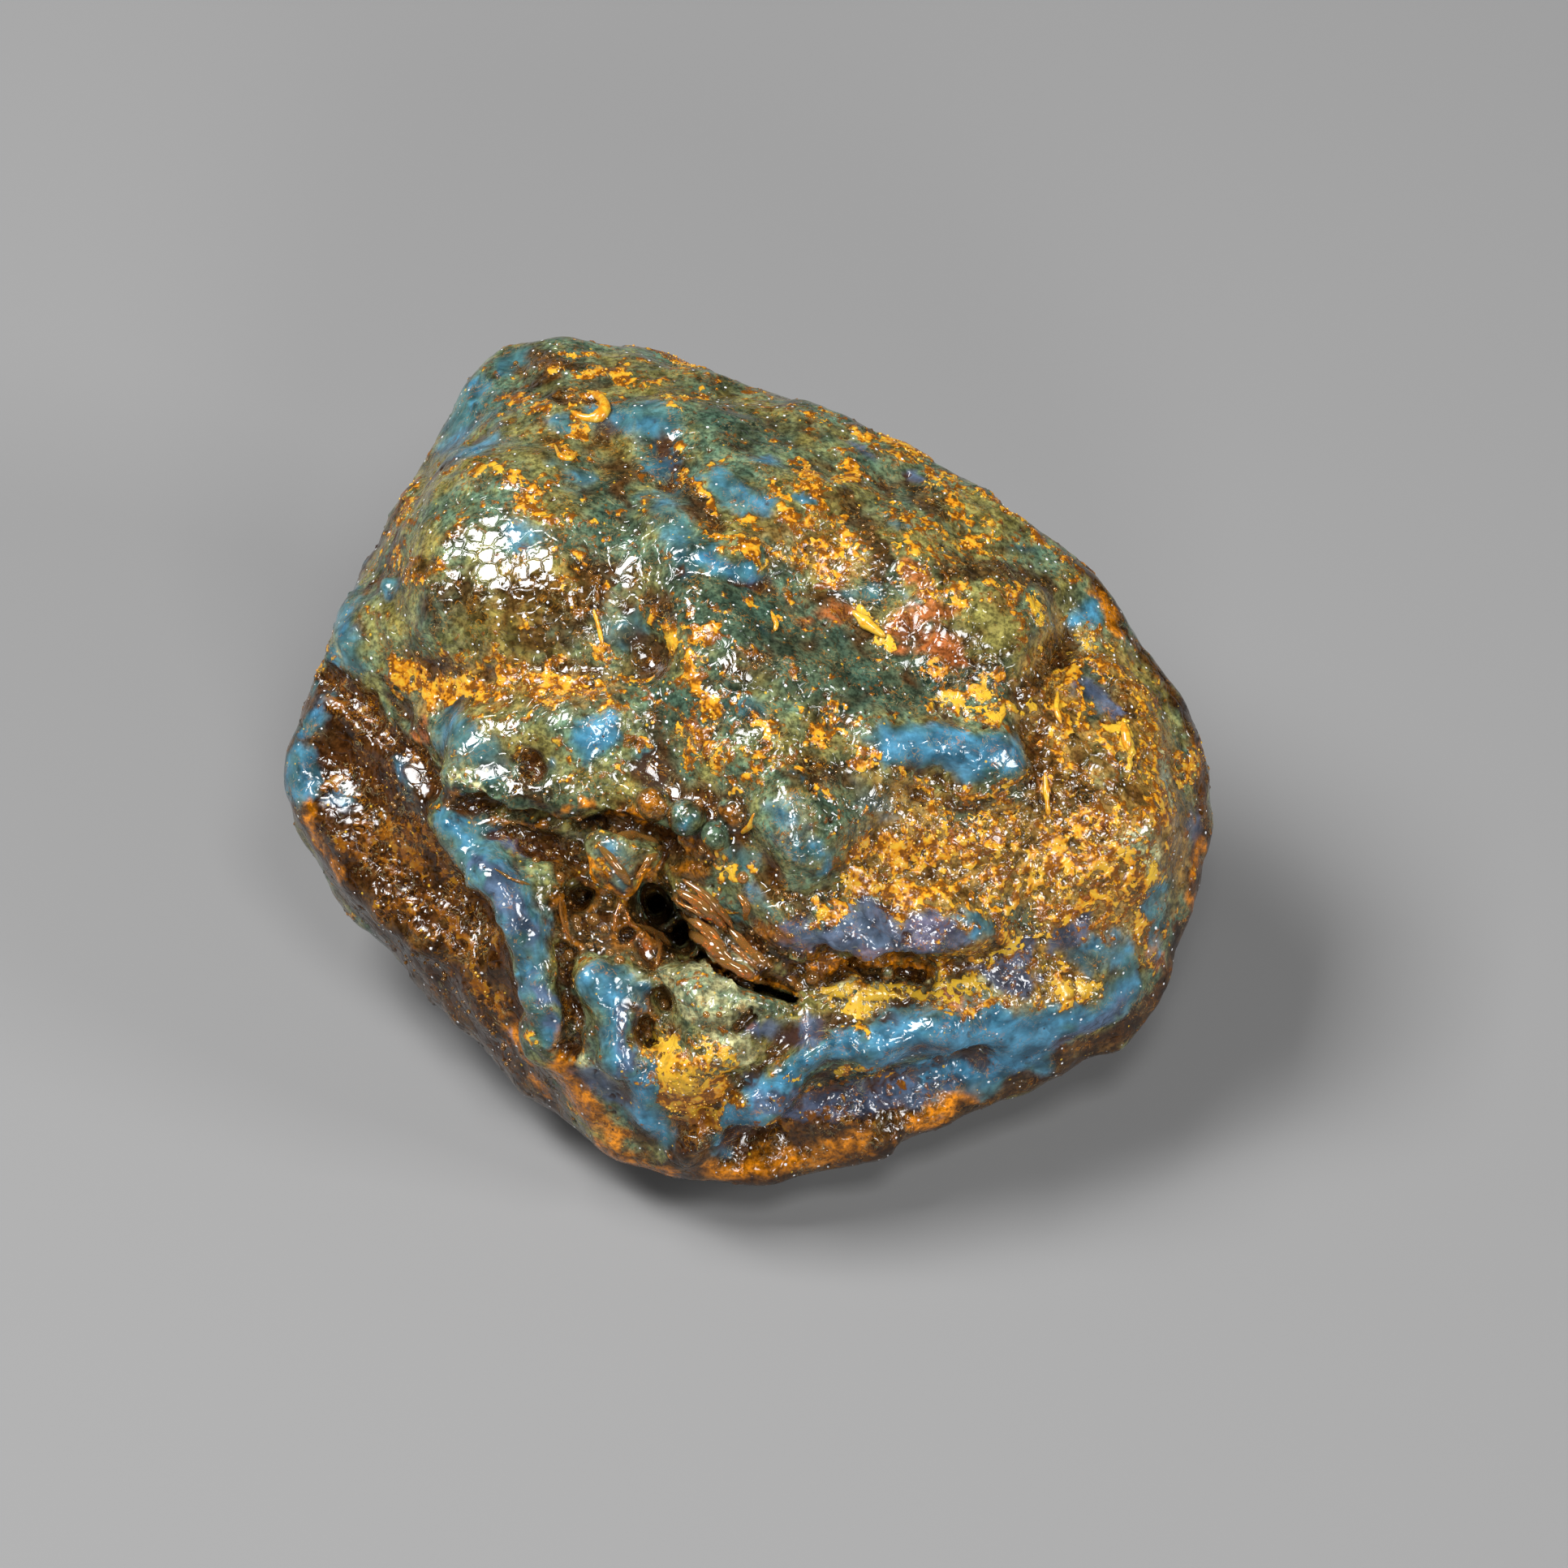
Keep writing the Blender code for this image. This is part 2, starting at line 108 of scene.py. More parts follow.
Stroke = namedtuple("Stroke", "form width height path")

# Relief of the face, from the big forms to the fine ones. Soft is a rounded swell or hollow, crisp
# has a sharp crest or bed, and bowl is a round knob or pit. A path is across, up, across, up, and
# so on.
FORMS = [
    Stroke("soft", 5.5, 1.3, (-16.2, 13.0, -15.8, 8.0)),                          # dome
    Stroke("soft", 1.1, 0.45, (-15.7, -1.0, -13.9, -2.2, -12.2, -2.5, -10.0, -2.2, -7.8, -2.7,
                               -5.6, -3.0, -3.9, -3.2)),                          # ledge lip
    Stroke("soft", 0.9, -1.3, (-14.6, -2.9, -12.2, -3.5, -9.6, -3.6, -6.9, -3.7, -4.4, -4.2)),
    Stroke("soft", 3.0, -0.9, (-8.0, -8.8, -5.6, -8.8, -3.6, -9.8)),              # hollow
    Stroke("soft", 0.8, 0.5, (-13.1, -4.2, -12.0, -5.0, -11.2, -5.6)),            # slate cord
    Stroke("crisp", 0.7, -0.8, (-13.6, -4.0, -12.0, -4.1, -10.6, -4.4, -9.2, -4.8, -7.9, -5.6)),
    Stroke("soft", 1.8, 0.8, (-15.4, -3.4, -13.2, -6.0, -11.8, -8.6, -11.0, -11.0, -10.5, -13.2,
                              -10.0, -15.0)),                                     # blue ridge
    Stroke("soft", 2.2, 0.4, (-13.4, -5.8, -12.2, -7.4, -11.6, -8.8)),
    Stroke("soft", 1.5, 1.0, (-7.2, -4.8, -6.7, -5.8, -6.4, -6.4)),               # drip
    Stroke("soft", 1.2, 0.8, (-5.9, -4.7, -4.6, -5.0)),
    Stroke("crisp", 0.6, -1.3, (-8.3, -5.2, -7.9, -6.2, -7.1, -7.3, -6.2, -7.7, -5.3, -7.2,
                                -4.6, -6.2, -4.1, -5.3)),
    Stroke("soft", 1.5, 0.7, (-8.55, -7.15, -8.45, -7.15)),                       # round pit
    Stroke("bowl", 0.9, -2.8, (-8.55, -7.15, -8.45, -7.15)),
    Stroke("bowl", 1.1, -3.0, (-4.9, -7.8, -4.3, -7.6)),                          # main hole
    Stroke("bowl", 0.8, -2.8, (-4.3, -7.9, -4.0, -8.7, -3.5, -9.4)),
    Stroke("bowl", 0.7, -2.8, (-3.4, -9.6, -2.8, -10.4)),                         # second hole
    Stroke("soft", 1.6, 1.0, (-2.7, -7.7, -1.5, -8.9, -0.2, -10.2, 1.0, -11.1)),  # splinter lobe
    Stroke("soft", 1.8, 0.6, (-2.6, -12.6, -1.6, -13.6)),                         # pale plate
    Stroke("soft", 1.6, 0.9, (-7.4, -12.2, -6.6, -14.4, -6.2, -16.4)),            # inner lobe
    Stroke("soft", 1.2, 0.4, (-5.2, -17.8, -5.2, -19.8)),                         # tongue
    Stroke("crisp", 0.9, -1.2, (-9.2, -10.6, -9.1, -13.5, -9.2, -15.8)),
    Stroke("bowl", 0.5, -1.6, (-4.1, -12.9, -3.9, -13.3)),
    Stroke("bowl", 0.55, -1.6, (-5.0, -14.4, -4.7, -15.3)),
    Stroke("bowl", 0.45, -1.1, (0.1, -14.5, 0.8, -14.0)),
    Stroke("bowl", 0.42, -1.1, (-6.1, -9.4, -5.9, -9.5)),
    Stroke("bowl", 0.32, -0.9, (-8.1, -10.4, -7.5, -10.4)),
    Stroke("crisp", 0.7, -1.5, (3.0, -11.9, 4.4, -12.0, 6.4, -11.5, 8.2, -11.6, 10.2, -11.6)),
    Stroke("soft", 0.9, 0.55, (3.2, -10.6, 5.6, -10.5, 8.0, -10.4, 10.8, -10.2)),  # overhang
    Stroke("crisp", 0.9, 0.5, (-2.1, -20.9, -0.8, -20.2, 0.5, -18.8, 1.8, -17.5, 3.6, -16.2,
                               5.4, -15.2, 7.4, -14.7)),                          # crest
    Stroke("soft", 0.9, -0.4, (-1.7, -19.4, 0.1, -17.4, 2.7, -15.2)),
    Stroke("soft", 0.8, -0.5, (18.0, 6.4, 17.2, 4.4, 16.3, 2.2, 16.1, -0.4, 15.9, -2.6)),
    Stroke("crisp", 0.8, 0.4, (-22.2, 5.6, -20.5, 4.4, -18.3, 2.4, -17.0, 0.6)),  # corner fold
    Stroke("soft", 1.0, -0.6, (-22.6, 4.2, -20.4, 2.6, -18.2, 0.4, -16.6, -1.6)),
    Stroke("soft", 0.9, 0.3, (-8.1, 19.2, -8.0, 19.2)),                           # ring
    Stroke("bowl", 0.5, -0.9, (-8.3, 19.3, -8.0, 19.3)),
    Stroke("bowl", 0.45, -0.6, (-9.5, 19.3, -9.2, 19.4)),
    Stroke("bowl", 0.4, -0.5, (-9.2, 16.4, -9.2, 16.4)),
    Stroke("bowl", 0.65, -0.8, (-11.2, -0.3, -10.9, -0.8)),                       # black pool
    Stroke("bowl", 0.4, -0.7, (-17.3, 10.2, -17.0, 10.1)),
    Stroke("soft", 3.0, 0.9, (2.6, -2.8, 3.4, -4.6)),                             # third bulge
    Stroke("soft", 1.6, -0.4, (5.0, 2.0, 3.4, -0.2, 1.4, -1.2)),
    Stroke("soft", 1.2, 0.3, (1.0, -9.2, 1.8, -9.9)),                             # brown lobe
]

DETAILS = [
    Stroke("bowl", 0.45, -2.4, (-2.3, -10.6, -1.3, -11.1, -0.2, -11.7, 0.7, -12.25, 1.9, -12.85,
                                3.0, -13.2)),                                     # slit
    Stroke("crisp", 0.45, 0.35, (-1.6, -10.2, -1.0, -11.2, 0.2, -11.7, 1.6, -12.2)),
    Stroke("crisp", 0.4, -0.5, (-3.5, -7.3, -2.2, -8.4, -1.2, -9.4, 0.0, -10.6)),
    Stroke("crisp", 0.35, -0.4, (-2.8, -6.9, -1.4, -8.1, -0.2, -9.3, 1.2, -10.6)),
    Stroke("crisp", 0.35, 0.35, (-4.0, -11.2, -3.6, -10.9, -2.1, -10.9, -1.4, -11.7, -0.5, -12.3,
                                 -0.1, -13.0, 0.8, -13.2, 1.1, -13.9)),           # plate edge
    Stroke("crisp", 0.35, -0.35, (-5.2, -10.2, -4.6, -11.0, -4.4, -12.0)),
    Stroke("crisp", 0.3, 0.3, (-6.3, -7.9, -6.6, -8.6, -6.5, -9.2)),
    Stroke("crisp", 0.3, 0.25, (-9.7, -7.4, -9.6, -8.4, -9.3, -9.5, -8.8, -9.9)),
    Stroke("crisp", 0.35, 0.3, (1.6, -10.2, 3.4, -11.0, 4.6, -11.4, 6.4, -11.0, 8.0, -11.0,
                                9.8, -11.3)),                                     # overhang rim
    Stroke("crisp", 0.35, -0.3, (-3.0, 10.2, -1.6, 9.7, -0.2, 9.4, 1.3, 9.2)),    # lens crack
    Stroke("soft", 0.8, 0.25, (-2.2, 10.6, -0.8, 10.3, 0.6, 9.9)),                # lens
    Stroke("crisp", 0.5, 0.3, (8.2, -1.0, 10.4, -1.5, 12.6, -1.9, 15.2, -2.2)),   # shelf
    Stroke("crisp", 0.4, -0.3, (9.6, -2.2, 12.0, -2.6, 14.6, -3.0)),
    Stroke("crisp", 0.3, 0.3, (12.6, -5.0, 14.4, -5.0, 15.8, -4.1, 14.6, -3.4)),  # flakes
    Stroke("crisp", 0.3, 0.3, (18.0, -3.8, 19.5, -5.6, 18.0, -6.8)),
    Stroke("crisp", 0.3, 0.25, (17.2, 4.8, 17.1, 2.8, 17.6, 1.8, 17.2, 0.6, 16.3, 0.0)),
    Stroke("crisp", 0.3, 0.25, (17.0, -0.6, 16.7, -2.2, 16.8, -3.8)),
    Stroke("crisp", 0.3, 0.2, (-7.0, 10.2, -7.5, 9.2, -7.8, 8.0, -7.2, 7.0, -7.4, 5.8)),
    Stroke("soft", 0.45, 0.2, (-9.2, 4.5, -8.4, 4.2, -7.5, 4.1)),                 # glossy bead
    Stroke("soft", 0.45, 0.22, (-11.5, 4.3, -11.4, 4.3)),
    Stroke("crisp", 0.35, 0.25, (6.2, 7.9, 7.0, 7.2, 8.0, 6.5)),                  # splinter
    Stroke("crisp", 0.35, 0.25, (20.8, 1.8, 21.1, 0.4)),
    Stroke("soft", 0.55, 0.25, (4.6, -8.3, 5.4, -8.1)),
    Stroke("crisp", 0.35, -0.3, (4.4, -13.0, 7.0, -13.1, 9.6, -13.2, 12.0, -13.9)),
    Stroke("crisp", 0.3, -0.25, (-16.2, -0.4, -14.8, -1.3, -13.4, -2.0)),
    Stroke("crisp", 0.3, 0.25, (-15.8, -0.9, -14.6, -1.7, -13.2, -2.4)),
]

Knob = namedtuple("Knob", "across up radius")

# Blisters: round swellings of the skin
KNOBS = [
    Knob(-4.7, -2.5, 1.0), Knob(-2.8, -3.2, 0.9), Knob(-2.6, -4.3, 0.6), Knob(-1.2, -4.2, 0.7),
    Knob(0.0, -3.1, 1.1), Knob(0.5, 2.5, 0.7), Knob(-0.2, 1.8, 0.6), Knob(-1.3, 0.2, 0.5),
    Knob(-18.9, 9.2, 0.7), Knob(4.0, -11.8, 0.8), Knob(2.9, -8.4, 0.7),
    Knob(5.6, -9.6, 0.9), Knob(8.6, -9.4, 0.8),
]

# Drops: clear wet beads of resin in the hollow and along the ledges
DROPS = [
    Knob(-9.6, -6.5, 0.30), Knob(-10.2, -5.2, 0.24), Knob(-8.8, -8.8, 0.36), Knob(-8.7, -9.2, 0.28),
    Knob(-7.8, -8.8, 0.40), Knob(-7.2, -9.3, 0.26), Knob(-9.1, -10.7, 0.38), Knob(-6.4, -11.0, 0.30),
    Knob(-6.9, -10.6, 0.26), Knob(-4.0, -13.4, 0.36), Knob(-4.9, -15.0, 0.28), Knob(-8.4, -7.6, 0.42),
    Knob(-6.9, -7.9, 0.20), Knob(-6.2, -8.2, 0.22), Knob(-5.2, -9.6, 0.24), Knob(-4.7, -6.6, 0.20),
    Knob(-8.3, -3.7, 0.22), Knob(-7.7, -3.9, 0.22), Knob(-3.8, -1.9, 0.24), Knob(-2.1, -2.5, 0.26),
    Knob(-1.9, -5.0, 0.24), Knob(0.3, -6.5, 0.36), Knob(4.0, -11.9, 0.40), Knob(3.3, -12.4, 0.26),
    Knob(-1.7, -13.9, 0.20), Knob(-1.0, -13.9, 0.18), Knob(-3.7, -9.3, 0.20), Knob(-2.6, -10.4, 0.16),
    Knob(-8.0, -10.2, 0.20), Knob(-5.8, -10.2, 0.22), Knob(-10.9, -5.6, 0.24), Knob(2.8, -0.2, 0.30),
    Knob(-2.9, -10.5, 0.18), Knob(1.0, -12.3, 0.20), Knob(-9.4, -9.3, 0.20), Knob(-6.0, -7.6, 0.16),
]

# How far the middles of blisters and drops lie above the skin, as a share of their radius
KNOB_RISE = -0.60
DROP_RISE = -0.25

Blade = namedtuple("Blade", "width thick lift path")

# Splinters: thin ribs and strands of clear resin that bridge the hollow
SPLINTERS = [
    Blade(0.34, 0.26, 0.35, (-3.3, -7.2, -2.2, -7.8, -1.2, -8.6, -0.6, -9.4)),
    Blade(0.13, 0.12, 0.45, (-3.3, -7.8, -2.3, -8.3, -1.4, -8.9)),
    Blade(0.26, 0.20, 0.25, (-3.2, -8.3, -2.3, -8.9, -1.3, -9.6, -0.6, -10.4)),
    Blade(0.36, 0.22, 0.30, (-2.7, -9.2, -2.0, -9.8, -1.2, -10.3, -0.2, -11.1)),
    Blade(0.12, 0.11, 0.40, (-2.8, -8.6, -1.8, -9.5, -1.0, -10.4)),
    Blade(0.22, 0.18, 0.20, (-3.0, -6.6, -1.8, -7.4, -0.8, -8.4, -0.2, -9.3)),
    Blade(0.30, 0.22, 0.20, (-1.7, -10.4, -0.6, -11.1, 0.5, -11.7, 1.7, -12.3)),
    Blade(0.30, 0.20, 0.15, (-0.5, -9.2, 0.6, -10.4, 1.6, -11.2)),
    Blade(0.12, 0.11, 0.30, (-0.4, -10.1, 0.4, -10.8, 1.2, -11.6)),
    Blade(0.22, 0.16, 0.15, (0.0, -7.4, 0.5, -8.0, 0.4, -8.8)),
    Blade(0.12, 0.10, 0.25, (-6.3, -7.7, -6.6, -8.6, -6.7, -9.5)),
    Blade(0.10, 0.10, 0.20, (-6.3, -7.8, -5.9, -8.7, -5.8, -9.2)),
    Blade(0.09, 0.09, 0.15, (-9.6, -7.5, -9.6, -8.4, -9.3, -9.4, -8.9, -9.9)),
    Blade(0.30, 0.22, 0.12, (-7.2, -4.5, -5.7, -4.2, -4.3, -4.6)),
    Blade(0.26, 0.22, 0.12, (-7.6, -4.6, -6.6, -5.8, -5.8, -6.9)),
    Blade(0.22, 0.18, 0.10, (-5.5, -6.6, -4.8, -5.5, -4.1, -4.8)),
    Blade(0.22, 0.16, 0.25, (-5.5, -9.0, -4.9, -9.3, -4.2, -9.6, -3.6, -10.2)),
    Blade(0.16, 0.14, 0.20, (-4.4, -9.6, -4.2, -10.4, -4.4, -11.4)),
    Blade(0.09, 0.09, 0.10, (-13.2, -6.0, -12.2, -6.6, -11.2, -6.9)),
]

BLADE_RINGS = 15
BLADE_CORNERS = 8
BLADE_END = 0.12        # how thick a blade is at its ends, as a share of its middle
BLADE_WAVE = 0.6        # spacing of its thick and thin spots, in millimetres

# Crust flakes: opaque yellow splinters and strands
FLAKES = [
    Blade(0.30, 0.22, 0.15, (6.2, 7.9, 7.0, 7.2, 8.0, 6.5)),
    Blade(0.26, 0.22, 0.12, (20.8, 1.9, 21.0, 1.1, 21.1, 0.3)),
    Blade(0.30, 0.24, 0.10, (-9.0, 18.7, -8.4, 18.3, -7.6, 18.3, -7.1, 18.8, -7.3, 19.4, -8.1, 19.8)),
    Blade(0.16, 0.14, 0.06, (-9.9, 16.9, -9.6, 16.2, -9.0, 16.1, -8.7, 16.5)),
    Blade(0.16, 0.12, 0.12, (1.8, 7.9, 2.1, 7.2, 2.0, 6.8)),
    Blade(0.14, 0.10, 0.06, (-7.3, 6.0, -7.5, 7.0, -7.8, 8.0)),
    Blade(0.16, 0.12, 0.06, (0.9, -3.0, 0.7, -3.7, 0.2, -4.1)),
    Blade(0.18, 0.12, 0.08, (16.6, -0.8, 16.7, -2.2, 16.8, -3.2)),
    Blade(0.16, 0.10, 0.08, (17.3, 3.6, 17.2, 2.6, 17.5, 1.8)),
]

# Where each colour layer lies, seen from one side: width, strength, then the path
PATCHES = {
    ("face", "blue"): [
        (1.7, 1.0, -15.6, 19.4, -14.4, 18.4, -15.0, 17.6), (0.7, 1.0, -9.6, 18.2, -9.2, 17.8),
        (1.3, 1.1, -7.0, 18.2, -5.4, 18.6, -4.4, 17.8), (0.8, 1.0, -9.2, 15.4, -8.4, 14.8),
        (0.9, 0.9, -4.2, 16.2, -3.9, 14.0, -3.9, 12.2, -2.8, 11.0), (1.1, 1.1, -21.6, 7.6, -21.2, 6.4),
        (0.8, 1.0, -20.8, 5.8, -20.4, 5.2), (0.7, 0.9, -19.2, 9.2, -18.8, 8.8),
        (0.6, 1.1, -23.2, 4.6, -22.9, 4.0), (0.9, 0.8, -11.9, 12.4, -11.6, 11.2),
        (1.0, 0.8, -7.0, 7.2, -5.6, 6.8, -6.4, 6.2), (1.2, 1.0, -15.8, 1.6, -15.0, 0.6, -13.6, 0.2),
        (0.8, 1.5, -7.9, 0.8, -7.3, 1.4, -6.9, 1.6), (0.4, 1.2, -9.9, 0.0, -9.8, 0.0),
        (0.8, 0.9, -5.0, -0.4, -4.0, -0.9), (0.7, 1.2, -1.4, 15.2, 0.0, 14.2, 1.4, 13.6),
        (0.6, 1.5, -2.3, 10.6, -0.8, 10.4, 0.8, 9.7), (0.4, 1.0, 0.6, 16.0, 2.2, 16.2),
        (0.5, 1.0, 3.2, 13.8, 4.0, 13.6), (0.6, 0.8, 8.6, 12.8, 9.0, 12.6),
        (0.5, 1.0, 5.8, 9.0, 7.0, 8.8), (0.4, 0.7, 8.8, 8.6, 9.4, 8.6),
        (1.1, 1.6, 8.2, 0.7, 10.0, 0.7, 12.0, 0.4, 13.6, 0.2, 15.0, 0.0),
        (0.7, 0.8, 13.4, -0.5, 15.2, -0.7), (0.6, 1.2, 12.5, -8.6, 13.3, -9.1, 13.0, -9.5),
        (0.8, 1.1, 22.4, -7.4, 22.9, -8.2, 22.6, -9.8), (0.9, 1.0, 19.0, -10.8, 20.0, -10.2, 21.0, -11.4),
        (0.6, 1.4, 18.7, 8.2, 18.8, 7.6),
        (0.8, 1.5, -0.8, -20.6, 0.4, -19.6, 1.6, -18.3, 3.0, -17.1, 4.6, -16.1, 6.4, -15.6),
        (0.9, 1.4, 7.2, -15.5, 9.0, -15.6, 11.0, -15.3, 12.6, -15.4),
        (0.8, 1.6, 10.6, -14.7, 13.0, -14.7, 15.4, -14.4), (0.7, 1.2, 13.0, -16.4, 13.2, -15.6),
        (1.1, 1.5, -5.2, -17.8, -5.4, -18.8, -5.0, -20.0),
        (1.0, 1.2, -8.4, -12.2, -6.6, -12.0, -5.9, -13.0),
        (1.1, 1.3, -7.4, -12.6, -6.8, -14.6, -6.2, -16.6), (0.9, 1.3, -15.6, -3.6, -14.6, -4.6),
        (0.9, 1.1, -13.2, -5.8, -12.0, -7.4, -11.4, -9.0, -11.0, -10.6, -10.8, -12.2, -10.4, -13.8,
         -10.0, -15.4), (1.5, 1.1, -14.6, -4.4, -13.0, -6.4, -12.0, -8.0, -11.4, -9.4),
        (0.7, 0.8, -7.6, -4.6, -7.0, -5.4, -6.2, -6.2), (1.1, 1.4, -24.6, -0.4, -24.5, -1.4),
        (0.6, 0.9, -24.0, 1.8, -24.0, 1.2), (0.6, 0.7, -21.6, -2.2, -20.8, -2.0),
        (0.6, 0.8, -18.6, -0.8, -17.8, -1.8, -17.2, -2.8), (0.8, 1.0, -12.0, 21.9, -12.6, 21.0),
        (0.5, 0.9, -0.8, -5.4, 1.2, -5.4), (0.6, 0.8, 1.0, -7.4, 1.6, -8.2),
        (0.7, 0.8, 3.8, -4.6, 4.6, -5.6), (0.5, 0.9, -2.9, -3.3, -2.7, -3.3),
        (0.5, 0.9, 0.4, 2.6, 1.0, 2.4), (0.9, 0.7, 6.4, -2.0, 7.6, -2.6),
        (1.2, 0.66, 2.2, -2.8, 3.2, -4.8), (1.5, 1.8, 10.0, -15.4, 13.0, -15.4, 16.0, -15.2),
        (1.1, 1.5, 16.5, -14.9, 19.0, -14.2, 21.0, -13.0), (0.8, 1.4, 2.2, -17.8, 5.0, -16.0, 8.0, -15.5),
        (1.9, 1.7, 8.6, -15.6, 12.0, -15.5, 16.4, -15.3),
        (1.4, 1.7, 9.5, -17.0, 13.0, -16.8, 16.0, -16.2)],
    ("face", "slate"): [
        (0.7, 1.2, 1.6, -18.9, 3.4, -18.8, 4.6, -18.2), (0.9, 1.2, 5.6, -18.4, 7.4, -17.6, 8.8, -17.8),
        (0.6, 1.1, 9.6, -18.4, 11.4, -17.6), (0.7, 1.0, -14.0, -5.6, -12.6, -7.4, -11.8, -9.0),
        (0.6, 1.0, -10.6, -12.4, -10.0, -14.4), (0.6, 0.9, -6.4, -13.4, -5.8, -16.4),
        (0.4, 1.4, -13.2, -4.0, -12.0, -5.0, -11.4, -5.5),
        (1.0, 1.4, 3.6, -9.8, 5.2, -10.2, 6.6, -9.9, 8.0, -10.2), (0.8, 1.3, 6.2, -8.9, 8.0, -8.8),
        (0.6, 1.0, 2.7, -8.8, 3.6, -8.9), (1.0, 1.3, 9.6, -9.6, 11.0, -9.4, 11.6, -9.9),
        (0.6, 1.2, 14.4, -11.2, 15.4, -10.8), (0.5, 1.0, 12.8, -11.2, 13.6, -11.8),
        (0.7, 1.1, 17.4, -9.8, 18.4, -9.6), (0.7, 1.1, 17.6, -15.2, 19.0, -14.6, 20.6, -13.6),
        (0.6, 1.1, 1.0, -14.6, 2.4, -14.8, 3.8, -14.8), (0.6, 0.75, 18.8, 3.8, 19.6, 3.2, 20.0, 2.4),
        (0.5, 1.0, 6.4, 16.8, 6.9, 16.7), (0.5, 1.1, 9.2, 15.3, 9.5, 15.1),
        (0.9, 0.9, 14.2, -12.0, 15.6, -12.2), (1.0, 0.9, -8.0, -17.2, -6.4, -18.6),
        (0.6, 0.8, 24.4, -3.4, 24.8, -4.4), (0.5, 0.9, 0.4, 9.4, 1.4, 9.3)],
    ("face", "green"): [
        (2.4, 1.0, -2.6, 9.4, -0.8, 8.6, 0.8, 7.2, 2.4, 6.2, 4.6, 5.0, 7.6, 4.6, 9.8, 5.0),
        (1.8, 0.7, -0.6, 18.4, 1.4, 17.4), (0.9, 1.0, 8.8, 3.6, 10.2, 3.4),
        (1.2, 0.8, -7.4, 13.8, -6.2, 12.4), (1.4, 0.8, -13.2, -0.8, -10.4, -2.0),
        (1.2, 0.7, -9.8, -2.6, -8.4, -2.4), (1.6, 0.8, -20.4, -0.2, -18.4, -1.6),
        (1.6, 0.9, -16.8, -2.0, -15.4, -2.6), (1.2, 0.8, -4.6, 4.4, -3.4, 3.0),
        (1.2, 0.7, 4.8, -2.8, 6.4, -3.4), (0.9, 1.0, -2.6, -12.4, -2.0, -13.4),
        (1.4, 0.9, -22.6, 1.4, -21.4, 0.0), (1.0, 0.8, 19.0, 4.8, 19.6, 2.4),
        (1.0, 0.8, 12.0, -3.0, 12.8, -3.2), (1.2, 0.8, 14.2, -8.6, 15.4, -9.2),
        (1.4, 0.7, -1.0, 5.6, -0.4, 3.4), (1.2, 0.9, 3.4, -17.6, 6.2, -17.4),
        (1.0, 0.9, 13.4, -1.1, 15.4, -1.6), (0.9, 1.4, -2.9, -3.2, -2.7, -3.2),
        (0.8, 1.4, -1.3, -4.2, -1.1, -4.2), (0.8, 1.2, -2.7, -4.3, -2.5, -4.3),
        (1.0, 0.8, 12.4, 4.6, 14.0, 4.4)],
    ("face", "olive"): [
        (1.5, 1.0, -17.0, 14.6, -15.4, 15.6, -13.6, 17.0), (1.6, 0.9, -17.4, 12.0, -15.6, 13.2),
        (0.9, 1.0, 5.8, 17.4, 6.4, 17.0), (1.5, 1.0, 8.6, 11.4, 10.8, 12.4, 12.8, 13.4),
        (0.9, 0.9, 6.2, 10.2, 5.0, 9.4), (1.6, 0.8, -14.0, 7.0, -11.0, 7.4, -9.8, 9.4),
        (1.4, 0.9, -12.6, 1.6, -10.6, 1.0), (1.6, 0.9, 12.8, 7.4, 15.4, 6.4),
        (2.0, 0.8, 13.6, -6.4, 16.0, -6.8), (1.6, 0.9, 21.6, -4.4, 22.8, -2.0),
        (1.4, 0.9, -0.6, -15.4, 0.6, -16.2), (1.2, 0.8, -7.2, -1.8, -5.6, -1.6),
        (1.4, 0.9, 5.4, -6.4, 7.2, -6.2), (1.6, 0.8, 16.0, -11.2, 19.0, -11.6),
        (1.5, 0.8, 22.2, 1.4, 22.8, 2.2), (1.3, 0.8, -4.6, 14.6, -4.9, 13.2),
        (1.2, 0.9, 11.6, -1.0, 13.0, -1.4)],
    ("face", "honey"): [
        (2.8, 1.0, 17.0, 5.0, 17.4, 0.6, 15.6, -3.0),
        (3.2, 1.1, 8.6, -4.6, 14.0, -5.6, 19.0, -4.8, 22.0, -4.0),
        (2.8, 1.0, 10.6, -8.6, 16.0, -9.0, 20.6, -8.2), (2.4, 0.9, 20.4, 4.0, 22.6, 0.0, 23.8, -5.0),
        (1.6, 0.9, 6.0, -12.5, 12.0, -12.5, 18.0, -12.0), (1.6, 0.8, -17.0, 4.0, -12.0, 4.0, -8.0, 3.8),
        (1.6, 0.9, -3.6, -17.0, -1.4, -18.6), (1.4, 0.7, 2.0, 12.0, 6.0, 10.6),
        (2.4, 0.6, -12.4, 8.0, -9.6, 8.6)],
    # brown: dark wet resin, and painted shadow under the ledge lip and in cracks, grooves and pits
    ("face", "brown"): [
        (1.0, 1.0, -11.8, 21.4, -9.2, 21.2), (0.6, 1.3, -10.6, 20.5, -9.8, 20.4),
        (0.7, 1.2, -9.5, 19.4, -9.2, 19.3), (0.5, 1.7, -8.4, 19.2, -8.0, 19.1),
        (0.8, 1.0, -5.8, 15.4, -6.2, 14.6), (0.9, 1.1, -8.4, 10.2, -7.4, 10.0, -8.0, 8.8, -8.6, 8.0),
        (1.5, 0.8, -12.0, 8.6, -9.8, 8.4, -9.4, 7.0, -10.6, 6.2), (1.4, 0.7, -14.8, 8.6, -16.6, 8.2),
        (0.6, 1.1, -16.8, 5.0, -15.4, 4.9), (0.5, 1.3, -17.8, 10.3, -16.8, 9.9),
